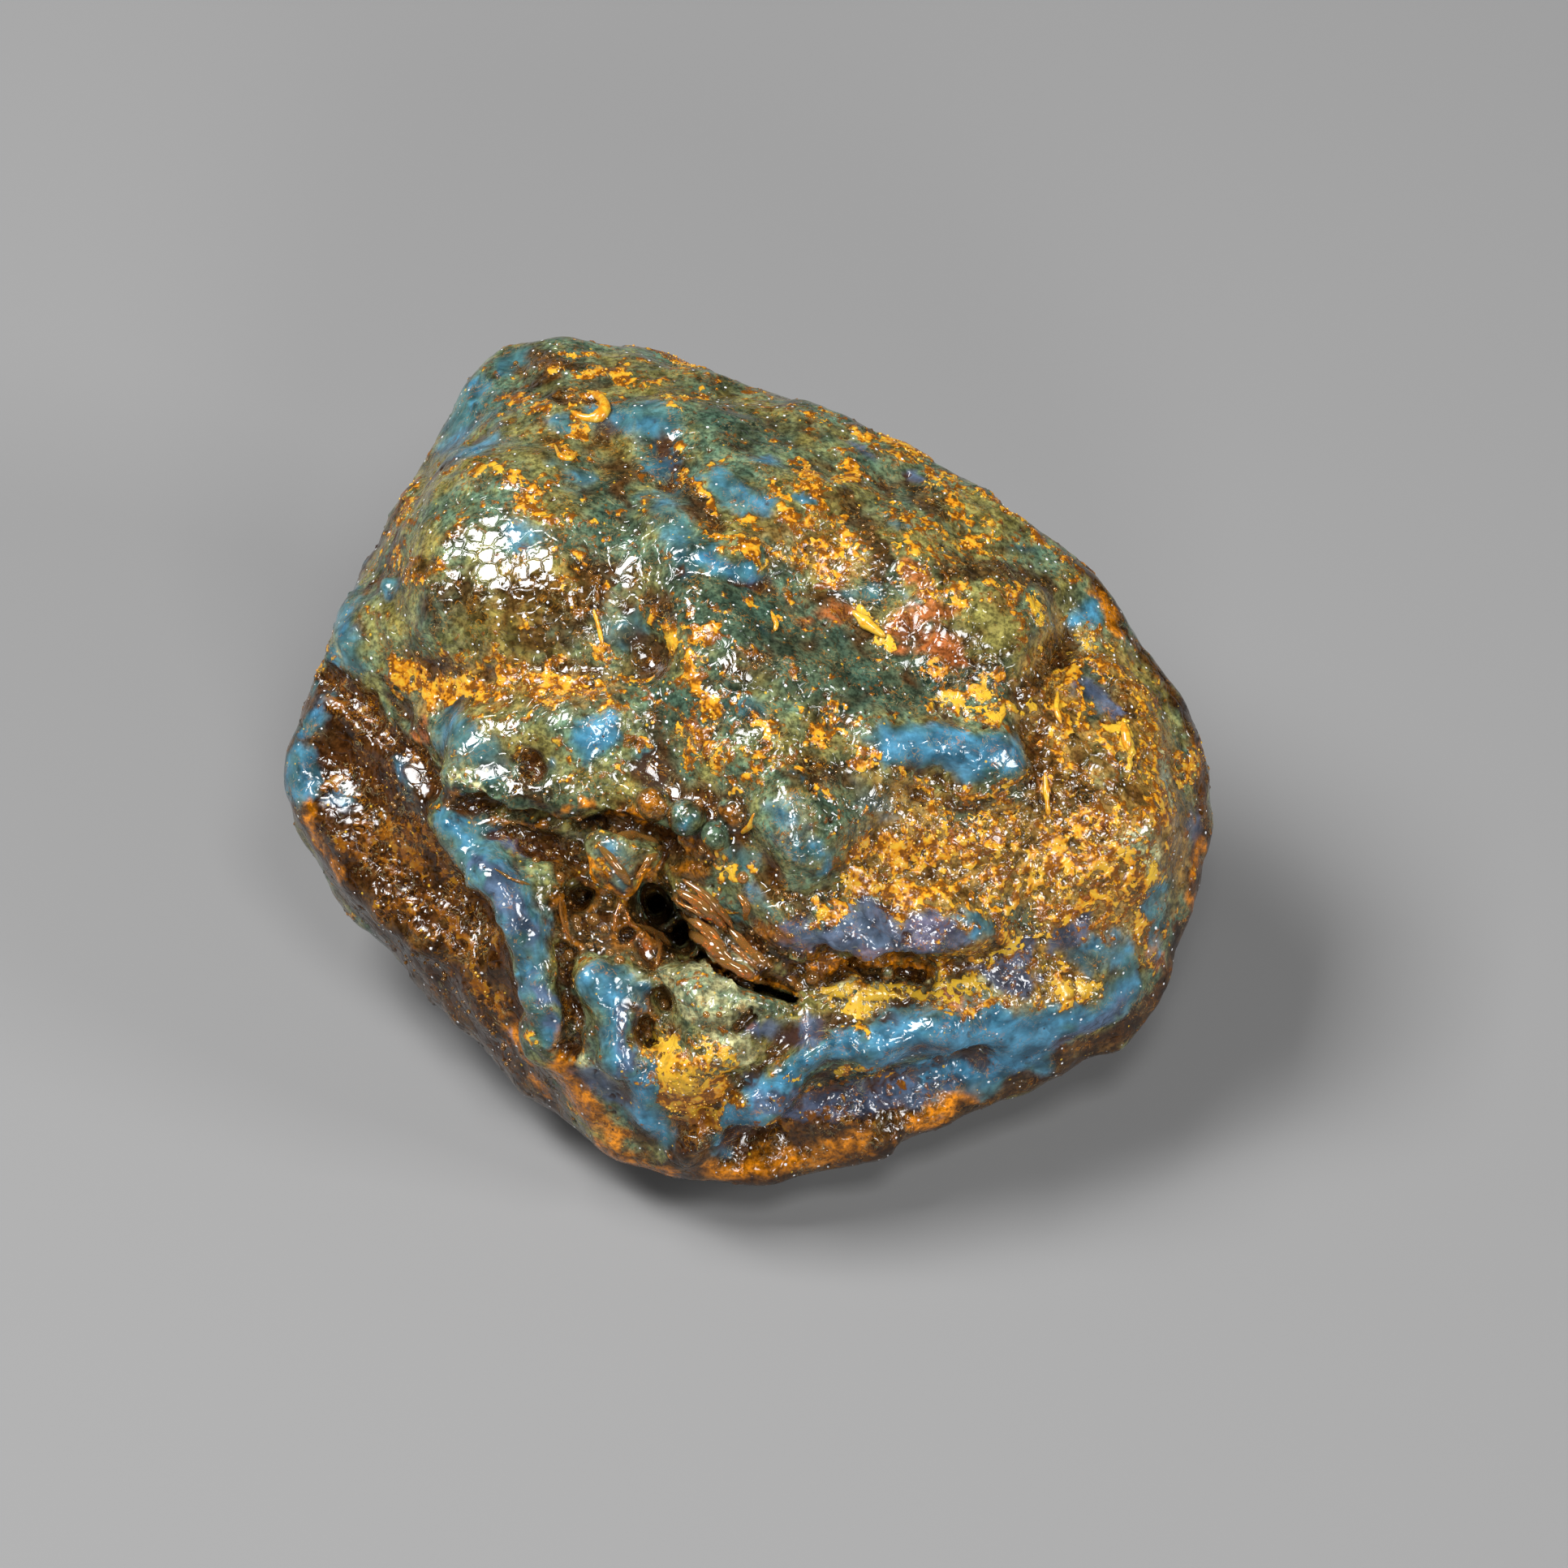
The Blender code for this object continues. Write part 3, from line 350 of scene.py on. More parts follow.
        (1.2, 1.1, -22.2, 3.4, -20.2, 2.2, -18.4, 0.8, -16.8, -0.4), (0.7, 1.3, -17.2, 1.8, -16.9, 1.0),
        (1.4, 0.9, -20.8, -0.4, -18.8, -1.4, -17.6, -3.0),
        (0.8, 1.0, 5.8, 14.0, 6.6, 13.0, 7.4, 12.2, 7.8, 10.6, 7.4, 9.8),
        (0.9, 0.9, -4.2, 17.2, -3.4, 15.0, -2.4, 13.4, -1.2, 12.8), (0.8, 1.0, -4.6, 8.4, -3.8, 8.0),
        (1.0, 0.7, 0.0, 5.0, 1.4, 5.6),
        (0.5, 1.3, -16.4, -1.6, -14.6, -2.4, -12.8, -3.1, -10.6, -3.4, -8.8, -3.3, -7.4, -3.4, -5.8,
         -3.8, -4.0, -4.3), (0.9, 1.1, -12.4, -3.9, -10.2, -4.6, -8.8, -5.4),
        (1.1, 1.3, -7.7, -7.0, -6.0, -7.8),
        (1.3, 1.5, -9.4, -8.4, -7.6, -9.2, -6.4, -9.6, -4.8, -9.4, -4.6, -10.8),
        (0.8, 1.0, -3.8, -6.8, -2.0, -8.6, -0.6, -9.8, 1.6, -10.8, 3.0, -11.6),
        (0.8, 1.2, 1.0, -9.8, 2.6, -9.7), (0.9, 1.4, -3.9, -5.0, -2.2, -5.6),
        (0.8, 1.2, -5.0, -2.2, -4.4, -3.2), (0.8, 1.1, -1.2, -2.4, 0.0, -3.2),
        (0.6, 1.3, -9.5, -11.0, -9.2, -13.4, -9.4, -15.4), (0.5, 1.3, -4.9, -13.4, -4.8, -15.2),
        (0.4, 1.3, 0.4, -13.6, 0.6, -14.6), (0.9, 0.9, 3.8, -19.6, 6.6, -19.2),
        (0.6, 1.1, 16.4, 2.0, 16.2, 0.0, 16.8, -1.4, 16.4, -2.6),
        (0.7, 1.0, 15.2, 3.8, 16.4, 4.8, 17.4, 6.4), (0.8, 0.9, 17.8, -1.2, 18.8, -2.2),
        (0.6, 0.9, 20.6, 2.4, 21.2, 3.4), (0.6, 0.9, 20.8, -1.6, 21.4, -1.8),
        (0.7, 0.8, 18.2, 1.0, 18.6, 0.2), (0.8, 0.9, 2.6, -7.0, 3.2, -8.0),
        (1.0, 0.8, 3.2, -1.0, 4.6, -0.4), (1.6, 0.8, -21.8, -4.0, -18.6, -6.6, -15.8, -8.0),
        (1.4, 0.9, -18.8, -10.0, -14.6, -13.2, -12.4, -16.2),
        (0.9, 0.9, 11.8, 10.2, 14.6, 10.0, 16.6, 9.2), (0.5, 1.2, 3.0, -11.8, 6.4, -11.6, 10.0, -11.6),
        (1.0, 0.8, 9.6, 14.6, 11.0, 13.4), (0.7, 1.0, -11.3, -0.2, -10.9, -0.9),
        (0.8, 0.9, -11.6, -1.6, -10.6, -1.8), (1.0, 0.8, 11.0, 6.2, 13.0, 5.0)],
    # amber: dark amber resin, and painted shade on the left face, the rims and the underside
    ("face", "amber"): [
        (3.2, 1.2, -22.6, 1.0, -22.4, -3.0, -20.0, -6.6, -17.0, -10.0, -14.4, -13.6, -12.2, -16.4),
        (2.4, 1.0, -19.6, -0.4, -17.4, -4.0, -15.4, -8.0, -13.2, -11.6),
        (2.0, 1.2, -2.0, -21.4, 3.0, -20.6, 8.0, -20.0, 13.0, -18.0),
        (1.6, 1.2, -25.0, -3.0, -24.0, -6.0, -21.6, -9.0, -19.4, -10.9, -16.6, -12.4, -13.8, -15.6,
         -11.6, -18.4),
        (1.3, 1.2, -11.6, -18.4, -9.4, -20.6, -7.3, -21.6, -3.0, -22.8, 1.6, -22.8, 5.8, -22.0),
        (1.4, 1.3, 5.8, -22.0, 9.6, -20.2, 12.0, -18.6, 15.0, -17.2, 18.4, -16.4),
        (0.9, 1.1, 18.4, -16.4, 21.6, -14.4, 23.6, -11.6, 24.6, -9.0, 25.2, -4.5),
        (0.7, 1.0, 25.2, -4.5, 25.2, -0.2, 24.2, 2.6), (0.6, 0.8, 24.2, 2.6, 20.4, 7.4, 18.6, 10.2),
        (0.4, 1.3, 1.2, -9.9, 3.4, -10.9, 4.6, -11.3, 6.4, -11.0, 8.0, -10.9, 9.8, -11.3),
        (0.5, 1.2, -2.4, -11.0, -1.2, -11.2, 0.6, -11.5, 2.4, -12.3, 3.2, -12.2),
        (0.5, 1.1, -5.2, -13.0, -5.4, -15.2), (0.4, 1.2, -7.9, -6.2, -7.0, -7.1, -6.0, -7.1, -5.0, -6.4),
        (0.5, 1.1, -12.2, -4.0, -9.6, -5.8), (0.8, 1.0, -9.0, -16.6, -8.6, -18.4),
        (1.2, 0.9, -15.4, -13.4, -13.0, -15.0, -11.0, -18.0),
        (0.5, 1.0, -7.6, -3.0, -5.6, -3.2, -3.6, -4.0), (0.7, 1.0, 9.4, -19.4, 12.0, -18.0),
        (0.5, 0.9, -18.0, 13.6, -20.4, 10.2, -22.0, 8.0),
        (0.5, 0.8, -15.8, 19.4, -17.2, 16.4, -18.2, 13.6)],
    # glow: painted light, orange where light comes through the thinnest edges and rims
    ("face", "glow"): [
        (0.4, 1.2, -8.1, -5.6, -7.6, -6.6, -6.9, -7.3, -6.1, -7.5, -5.4, -7.0, -4.8, -6.3, -4.0, -5.4,
         -3.6, -4.4), (0.4, 1.2, -1.6, -10.3, -1.0, -11.3, 0.2, -11.8, 1.6, -12.3, 2.8, -12.6),
        (0.4, 1.3, 3.0, -9.8, 3.6, -10.7, 4.6, -11.2, 6.4, -10.9, 8.0, -10.9, 9.8, -11.2, 11.0, -11.2),
        (0.4, 1.1, -5.4, -3.2, -4.4, -3.9, -3.6, -4.4, -2.4, -4.9, -1.6, -5.6),
        (0.4, 1.0, -8.6, -2.6, -7.6, -2.8, -6.2, -3.2),
        (0.7, 1.1, -9.4, -19.8, -7.6, -21.2, -5.6, -22.0, -3.4, -22.5),
        (0.9, 1.0, -9.4, -17.2, -8.8, -18.6, -7.0, -20.2),
        (0.9, 0.7, -1.0, -22.4, 2.6, -22.0, 6.4, -21.2), (0.6, 0.9, 9.6, -19.8, 12.4, -18.4),
        (0.5, 0.9, -24.6, -2.6, -24.0, -4.6, -22.8, -7.0),
        (0.5, 1.0, -13.0, -13.6, -11.6, -16.0, -10.8, -17.6), (0.4, 1.1, -9.8, -16.0, -9.2, -16.4),
        (0.5, 0.9, 24.6, -7.6, 25.0, -4.8), (0.5, 0.9, 20.6, 6.6, 19.2, 8.8),
        (0.4, 1.0, 1.0, -9.4, 2.4, -9.2), (0.4, 1.0, -12.8, -4.2, -11.0, -4.8, -9.6, -5.4),
        (0.35, 1.3, -7.4, -7.1, -7.7, -6.3, -8.5, -6.0, -9.3, -6.4, -9.6, -7.2, -9.3, -8.0, -8.5, -8.3,
         -7.7, -7.9, -7.4, -7.1)],
    ("face", "pale"): [
        (0.4, 0.7, -2.6, -8.2, -1.0, -9.6, 0.6, -11.0),
        (1.1, 0.9, -3.6, -12.0, -2.2, -12.0, -1.4, -13.4, -2.6, -13.6),
        (0.5, 1.3, -2.0, -11.2, -0.8, -12.2, 0.2, -13.1, 0.9, -13.7), (1.2, 0.7, -1.0, -15.0, 0.2, -16.2),
        (0.8, 0.9, 23.0, -0.6, 23.4, -2.0), (1.0, 0.8, 21.6, -4.4, 22.4, -5.4),
        (0.35, 1.2, -22.3, 6.6, -21.6, 5.6, -20.6, 4.8), (0.9, 0.9, -8.4, -16.6, -6.8, -17.6),
        (0.4, 0.9, -15.6, -1.2, -14.2, -1.8), (0.5, 0.8, 5.2, -13.2, 7.2, -13.4),
        (0.6, 0.8, 11.0, 2.2, 12.2, 2.6), (0.5, 0.8, 18.2, 6.2, 18.9, 5.8),
        (0.7, 0.9, 6.2, -12.4, 9.0, -12.3, 13.4, -12.6)],
    ("face", "red"): [
        (0.8, 1.1, 8.6, 7.6, 10.4, 7.8, 11.0, 8.2), (0.6, 0.9, 3.4, 7.7, 5.6, 7.6),
        (0.8, 0.8, 9.0, 6.8, 11.4, 5.6), (0.7, 1.0, 9.6, -9.4, 11.0, -9.2),
        (0.5, 1.4, 11.2, -12.6, 11.6, -12.8), (0.5, 1.0, 19.4, -4.0, 19.9, -4.0),
        (0.5, 1.1, 18.0, -8.2, 19.2, -7.6, 19.8, -7.2), (0.6, 0.9, -17.2, 1.8, -16.9, 1.0),
        (0.6, 1.0, -2.3, 1.8, -1.8, 0.4), (0.5, 1.2, 11.6, -4.4, 12.6, -4.6),
        (0.7, 0.9, 9.4, 9.8, 10.6, 9.2), (0.6, 0.8, 22.2, -10.0, 22.9, -10.7),
        (0.5, 0.8, -5.4, -10.2, -4.9, -9.2)],
    ("face", "ochre"): [
        (1.8, 0.72, 2.0, -19.6, 6.0, -18.8, 10.0, -18.0), (0.6, 1.0, 6.0, -17.0, 7.6, -16.9, 9.4, -17.6),
        (0.7, 1.2, -9.8, 20.9, -8.4, 20.8, -6.4, 20.6), (0.4, 1.0, -9.6, 21.8, -7.6, 21.6),
        (0.4, 1.1, -5.8, 20.2, -4.4, 20.3),
        (0.4, 1.3, -12.6, 19.3, -11.4, 19.1, -10.4, 19.0, -11.0, 19.5),
        (0.35, 1.5, -8.8, 19.1, -8.0, 18.6, -7.2, 19.0, -7.5, 19.6, -8.6, 19.6),
        (0.35, 1.1, -8.8, 18.4, -8.7, 17.2), (0.3, 1.3, -9.5, 17.1, -9.7, 16.6, -9.2, 16.0, -8.8, 16.4),
        (0.4, 1.1, -3.9, 19.4, -3.2, 18.5), (0.25, 1.2, -5.9, 16.4, -4.9, 16.4),
        (0.25, 1.2, -5.5, 16.2, -5.5, 15.0), (0.5, 1.0, -13.8, 15.6, -13.3, 15.2),
        (0.5, 0.9, -12.4, 15.4, -11.6, 14.4, -10.6, 13.6, -9.6, 13.0, -9.2, 12.4),
        (0.35, 1.2, -10.9, 15.1, -10.8, 14.8), (0.7, 1.0, -9.6, 13.1, -9.2, 12.7),
        (0.45, 1.1, -18.6, 10.6, -17.6, 9.8, -16.6, 9.5, -16.4, 10.3),
        (0.45, 1.1, -8.6, 11.0, -8.2, 10.2, -9.4, 9.8, -9.2, 9.2), (0.4, 1.2, -8.5, 8.0, -7.8, 7.4),
        (0.25, 1.1, -7.0, 10.2, -7.5, 9.2, -7.7, 8.0, -7.2, 7.0, -7.4, 5.8),
        (0.8, 1.4, -18.2, 4.2, -16.6, 4.1, -15.0, 3.6, -13.4, 3.5, -12.0, 4.2, -10.4, 3.8, -8.8, 3.6,
         -7.8, 3.8), (0.4, 1.1, -15.4, 4.9, -14.6, 5.6, -13.4, 5.1, -12.8, 4.8),
        (0.4, 1.1, -11.4, 4.9, -10.6, 4.6, -9.4, 5.4, -8.9, 5.0),
        (0.3, 1.3, -7.2, 5.2, -6.4, 5.4, -6.3, 4.4, -7.1, 4.1),
        (0.25, 1.2, -5.6, 5.3, -5.6, 4.4, -6.0, 4.2), (0.3, 1.1, -5.1, 4.4, -4.9, 4.4),
        (0.55, 1.4, -4.0, 7.4, -3.4, 6.4, -2.4, 6.0, -1.6, 6.8),
        (0.4, 1.1, -2.4, 6.2, -2.2, 5.2, -2.3, 4.4, -1.6, 3.2, -1.4, 2.2),
        (0.6, 1.1, -23.0, 5.0, -22.0, 4.2), (0.7, 0.9, -21.6, 3.0, -20.0, 2.2),
        (0.55, 1.2, -19.6, 1.6, -18.6, 0.5, -17.8, 0.2), (0.5, 1.1, -5.4, 0.6, -5.0, 0.6),
        (0.5, 1.2, -3.6, 17.4, -3.1, 16.4), (0.5, 1.4, -2.9, 15.4, -2.3, 14.4, -1.6, 13.4),
        (0.4, 1.2, -1.8, 12.8, -1.4, 12.0, -0.2, 12.0), (0.6, 1.2, 0.2, 11.6, 1.2, 11.6, 1.0, 10.5),
        (0.35, 1.1, 0.0, 12.8, 1.0, 13.0, 1.4, 12.4),
        (0.5, 1.2, 2.2, 11.6, 3.2, 11.0, 4.4, 10.6, 5.4, 9.9), (0.35, 1.4, 2.6, 13.4, 2.8, 12.6),
        (0.4, 1.2, 1.9, 13.8, 2.2, 14.4, 3.4, 14.8), (0.6, 1.5, 3.4, 15.8, 4.3, 14.9),
        (0.35, 1.1, 3.0, 16.6, 3.6, 16.0), (0.4, 1.2, 5.0, 16.6, 5.8, 15.8, 7.0, 15.4),
        (0.4, 1.2, 4.8, 14.4, 5.6, 15.0, 6.4, 15.2), (0.9, 0.9, 7.2, 17.3, 8.4, 16.9, 9.4, 16.4),
        (0.5, 0.8, 4.0, 18.5, 5.6, 18.3), (0.4, 1.0, -2.8, 19.3, -1.7, 19.6, -1.0, 20.2),
        (0.45, 0.9, 4.2, 12.8, 4.8, 11.8), (0.5, 1.0, 5.2, 13.4, 6.0, 12.4, 7.0, 11.2),
        (0.8, 0.8, 10.6, 15.0, 11.4, 14.2, 12.0, 13.0), (0.8, 0.9, 11.8, 11.2, 13.0, 11.4, 14.4, 10.8),
        (0.35, 1.4, 1.0, 8.6, 1.2, 8.1), (0.3, 1.4, 1.9, 7.8, 2.0, 7.7), (0.3, 1.1, 7.2, 5.9, 7.3, 5.3),
        (0.3, 1.2, 3.6, 7.1, 4.2, 7.0), (0.35, 1.2, 11.9, 8.8, 12.3, 8.8),
        (0.5, 0.9, 14.0, 9.4, 15.0, 8.8, 15.6, 9.6),
        (0.6, 0.9, 12.0, 15.0, 14.6, 13.4, 17.0, 11.4, 18.4, 10.0), (0.7, 1.0, 10.6, 4.4, 11.4, 3.8),
        (0.9, 0.9, -2.4, 2.0, -2.0, 0.6, -1.2, 0.0), (0.25, 1.3, -2.7, -0.2, -2.4, -1.2),
        (0.35, 1.4, -0.4, -1.2, -0.2, -1.3), (0.5, 1.3, 0.9, 1.8, 1.4, 1.0, 1.7, 1.6),
        (0.5, 1.3, 4.2, 1.4, 5.0, 1.8, 5.6, 1.4), (0.35, 1.2, 6.0, -0.2, 7.0, -0.5, 7.6, -0.3),
        (0.5, 1.0, 3.6, -0.4, 3.8, -1.4, 4.8, -2.0),
        (0.4, 1.3, 8.8, -0.4, 9.4, -1.2, 10.2, -2.2, 10.8, -2.8),
        (0.45, 1.1, 12.0, -2.1, 13.2, -1.8, 14.4, -1.8),
        (0.8, 1.1, 7.0, -4.6, 8.4, -4.4, 10.0, -4.0, 10.8, -3.8),
        (0.9, 1.1, 6.4, -5.2, 8.6, -5.4, 10.4, -5.2, 11.8, -5.0),
        (0.7, 1.1, 13.0, -4.0, 14.6, -3.6, 15.5, -4.2, 14.2, -4.9),
        (0.7, 1.3, 6.2, -7.4, 7.6, -7.2, 8.8, -6.8, 9.8, -7.2, 8.6, -8.0),
        (0.6, 1.7, 4.7, -8.3, 5.5, -8.2), (0.5, 1.1, 9.8, -7.0, 11.6, -7.0, 13.4, -6.8),
        (0.3, 1.2, 3.0, -9.8, 3.6, -10.8, 4.6, -11.3, 6.4, -10.9, 8.0, -10.9),
        (1.3, 1.7, -4.2, -16.7, -3.2, -17.5, -2.6, -18.6, -1.6, -19.0),
        (0.9, 1.1, -2.8, -16.8, -1.4, -17.6, -0.5, -18.1), (0.7, 0.9, 7.6, -18.8, 8.8, -18.0, 9.6, -17.8),
        (0.8, 0.9, 2.0, -19.8, 4.4, -19.6), (0.4, 0.9, 8.0, -15.4, 9.3, -14.8),
        (0.3, 1.1, 12.4, -9.4, 13.0, -9.2),
        (0.3, 1.2, 17.2, 4.8, 17.1, 2.8, 17.6, 2.0, 17.4, 0.8, 16.4, 0.2),
        (0.4, 1.3, 16.8, -1.0, 16.6, -2.2, 16.8, -3.4),
        (0.7, 1.2, 18.0, -4.0, 18.8, -4.8, 19.2, -5.6, 18.6, -6.2),
        (0.8, 1.0, 17.2, -4.6, 17.6, -5.8, 16.8, -6.6), (0.6, 1.0, 18.6, -2.4, 19.2, -3.4),
        (0.3, 1.3, 20.2, 0.4, 21.4, -0.8), (0.6, 0.9, 22.6, -1.8, 23.2, -2.6),
        (0.5, 0.9, 20.8, -7.2, 21.4, -8.0), (0.4, 1.1, 18.9, -8.4, 19.2, -8.4),
        (0.5, 0.9, 20.0, 5.4, 19.8, 4.2), (0.4, 0.9, 21.2, 5.0, 21.8, 3.8),
        (0.45, 0.9, 19.0, 7.2, 19.8, 6.0), (1.0, 1.1, -20.8, -4.6, -19.4, -4.4, -17.8, -4.2, -16.6, -5.0),
        (0.8, 1.0, -20.4, -5.6, -18.6, -5.8, -17.2, -6.0), (0.6, 1.1, -15.6, -6.2, -15.2, -7.2),
        (0.9, 1.0, -19.2, -8.0, -17.6, -8.4, -16.2, -9.2),
        (0.8, 1.1, -15.2, -9.6, -14.4, -10.8, -14.0, -12.0, -13.4, -13.0),
        (0.5, 0.9, -13.6, -9.4, -13.2, -10.4), (0.5, 0.8, -22.4, -1.0, -21.0, -1.4, -19.4, -1.6),
        (0.6, 0.8, -13.6, -14.2, -12.4, -15.6, -11.4, -16.8),
        (0.5, 1.0, 13.2, -11.8, 14.6, -11.2, 16.2, -9.6),
        (1.0, 0.9, 10.6, -13.3, 12.4, -13.4, 14.0, -13.2), (0.6, 0.8, 15.4, -13.1, 18.6, -12.8),
        (0.6, 0.8, 19.8, -6.6, 21.0, -5.6), (0.5, 1.0, -0.6, -11.6, 1.2, -11.4),
        (3.2, 0.62, 9.0, -4.6, 14.0, -5.6, 18.0, -4.6), (2.6, 0.6, 10.0, -8.6, 15.0, -8.8, 20.0, -8.0),
        (2.2, 0.58, 17.6, 5.0, 17.2, 0.0), (2.2, 0.62, 21.4, 3.0, 22.6, -2.0, 21.6, -8.0),
        (1.6, 0.62, 6.0, -12.6, 12.0, -12.6, 18.0, -12.0), (1.4, 0.5, -4.6, -16.4, -2.4, -18.4),
        (2.4, 0.5, 4.0, 11.0, 9.0, 13.0), (2.0, 0.5, 10.0, 10.0, 13.0, 11.0),
        (1.7, 0.85, 21.4, -5.6, 22.2, -9.4), (2.0, 0.3, -2.0, 5.0, 1.0, 0.0),
        (1.0, 0.8, 11.0, 3.0, 14.0, 3.4)],
    ("face", "yellow"): [
        (0.4, 1.1, -8.3, 18.7, -7.4, 18.8), (0.4, 1.0, -13.5, 15.5, -13.2, 15.2),
        (0.3, 1.1, -9.3, 9.6, -9.2, 9.2), (0.5, 0.9, -3.6, 6.5, -2.8, 6.1),
        (0.4, 0.9, -10.6, 0.8, -9.8, 0.6, -9.2, 0.3), (0.25, 1.2, -11.6, 0.1, -11.7, -0.4),
        (0.3, 1.2, -12.1, -1.4, -11.9, -1.8), (0.4, 1.1, -15.5, -0.1, -15.3, -0.3),
        (0.35, 1.6, 6.2, 7.9, 7.0, 7.3, 8.0, 6.5), (0.5, 0.9, 11.0, 2.8, 12.4, 3.5, 13.6, 3.1),
        (0.4, 0.9, 13.4, 2.2, 15.0, 2.8, 16.0, 2.0), (0.5, 0.9, 2.5, 3.0, 2.9, 2.8),
        (0.4, 1.1, 16.0, 8.6, 16.4, 7.8), (0.45, 1.3, 15.7, 3.3, 15.9, 3.1),
        (0.3, 1.7, 20.8, 1.8, 21.1, 0.4), (0.45, 1.2, -0.5, -6.3, -0.1, -6.4),
        (0.6, 1.1, 5.4, -12.6, 6.4, -13.2, 5.6, -13.8), (0.5, 1.4, 7.0, -12.6, 8.6, -12.5, 10.2, -12.8),
        (0.5, 1.1, 2.8, -17.4, 3.2, -17.4), (0.4, 1.1, 5.1, -16.9, 5.5, -16.9),
        (0.4, 1.2, 13.4, -10.5, 14.4, -10.9, 15.2, -10.3), (0.5, 1.0, 17.0, 5.8, 17.4, 5.4),
        (0.6, 0.9, 18.4, 6.1, 19.0, 5.6), (0.5, 1.1, 22.4, -6.4, 22.9, -6.9),
        (0.5, 1.4, -10.5, -17.4, -10.4, -17.6), (0.7, 0.9, -4.6, -15.2, -3.6, -15.7),
        (0.6, 0.9, -1.6, -15.9, -0.4, -16.6), (0.4, 1.0, -1.4, -8.6, -0.9, -9.6),
        (0.5, 0.9, 16.6, -5.4, 16.5, -7.0), (0.4, 1.0, 10.4, 14.8, 10.8, 14.6),
        (0.5, 0.8, 12.6, 12.8, 13.4, 12.6), (0.5, 0.8, 5.6, -7.2, 5.8, -7.4),
        (0.6, 0.8, 16.6, -12.6, 19.4, -12.2), (0.5, 0.8, 8.6, -14.0, 5.4, -15.0),
        (0.3, 1.0, -3.6, -6.6, -2.6, -6.8), (0.9, 0.72, -4.0, -16.6, -2.8, -17.8),
        (0.7, 1.0, 10.6, -12.4, 13.6, -12.4), (0.6, 0.9, 5.0, -12.7, 9.0, -12.9)],
    ("back", "blue"): [
        (2.0, 1.0, -12.0, 6.0, -6.0, 8.0), (1.6, 1.1, 6.0, 4.0, 9.0, -1.0),
        (1.2, 1.1, -2.0, -4.0, 1.0, -6.0)],
    ("back", "ochre"): [
        (0.9, 1.1, -16.0, 4.0, -12.0, 1.0, -9.0, 0.0), (0.8, 1.2, -6.0, -3.0, -3.0, -7.0),
        (0.9, 1.1, 2.0, 9.0, 5.0, 7.6, 9.0, 7.0), (0.8, 1.1, 12.0, 5.0, 14.0, 1.0),
        (1.0, 1.1, 3.0, -6.0, 8.0, -5.0), (0.7, 1.2, -2.0, 3.0, 1.0, 1.0),
        (0.7, 1.1, -10.0, -7.0, -14.0, -5.0)],
    ("back", "brown"): [
        (2.0, 0.9, -12.0, -6.0, 0.0, -11.0, 12.0, -10.0), (1.4, 0.9, -4.0, 1.0, 3.0, -1.0)],
    ("back", "green"): [(2.4, 0.9, -8.0, 3.0, 2.0, 4.0), (2.0, 0.9, 10.0, -5.0, 15.0, -6.0)],
    # amber on the lower back: dark resin, and painted shade
    ("back", "amber"): [(1.8, 1.1, -18.0, -11.0, -8.0, -13.4, 4.0, -13.8, 16.0, -12.0)],
    ("back", "yellow"): [(0.6, 1.2, 5.0, 8.0, 7.0, 7.6), (0.6, 1.1, -12.0, 1.4, -10.0, 0.4)],
    ("left", "blue"): [(1.2, 1.0, -8.0, 4.0, -11.0, 2.0)],
    ("left", "ochre"): [(0.9, 1.1, -12.0, -2.0, -6.0, -4.0), (0.8, 1.0, -14.0, 6.0, -10.0, 8.0)],
    ("right", "ochre"): [
        (1.0, 1.1, -2.0, 1.0, 6.0, -2.0), (0.8, 1.0, 8.0, 5.0, 12.0, 2.0),
        (0.8, 1.0, 2.0, -6.0, 9.0, -7.0)],
    ("right", "blue"): [(1.4, 1.0, 8.0, -2.0, 12.0, -4.0)],
    # amber on the lower right and the underside: dark resin, and painted shade
    ("right", "amber"): [(1.6, 1.0, -10.0, -11.0, 0.0, -12.4, 10.0, -12.0)],
    ("under", "amber"): [(6.0, 0.9, -12.0, 4.0, 0.0, 10.0, 12.0, 2.0, 4.0, -9.0)],
}

LAYERS = ("olive", "honey", "green", "amber", "glow", "brown", "pale", "red", "slate", "blue", "ochre",
          "yellow")
DEPTH = 0.72            # how much light the wet skin gives back, as a share of its colours
CRUST_EDGE = 0.50       # how strong a crust layer must be, with its noise, before it shows
CRUST_NOISE = 2.2       # how strongly each of its two noises breaks its edge
CRUST_LEVEL = -2.21     # brings the two noises back to about nought

# The inputs of the skin's tree, and the settings that fill them
SKIN_INPUTS = {"Swell Height": "swell_height", "Grain Height": "grain_height", "Cell Size": "cell_size",
               "Cell Depth": "cell_depth", "Pit Depth": "pit_depth", "Crust Height": "crust_height"}
GEOMETRY_IN = ("Geometry", "NodeSocketGeometry", None)
GEOMETRY_OUT = ("Geometry", "NodeSocketGeometry")

Softbox = namedtuple("Softbox", "name size across up out")

# Lights: size, and the place seen from the face, in metres
SOFTBOXES = [
    Softbox("key", 0.22, -0.26, 0.31, 0.30),
    Softbox("front", 0.12, 0.06, 0.13, 0.46),
    Softbox("fill", 0.14, 0.42, 0.05, 0.30),
    Softbox("low", 0.11, 0.05, -0.18, 0.43),
]


# ---------------------------------------------------------------- sizes and colours that a user changes

def length(name, description, default):
    """Make a property for a size in metres."""
    return FloatProperty(name=name, description=description, default=default, min=0.0, unit="LENGTH",
                         precision=6)


def amount(name, description, default):
    """Make a property for a plain number."""
    return FloatProperty(name=name, description=description, default=default, min=0.0)


def colour(name, description, default):
    """Make a property for a linear colour."""
    return FloatVectorProperty(name=name, description=description, default=default, size=3,
                               subtype="COLOR", min=0.0, max=1.0)


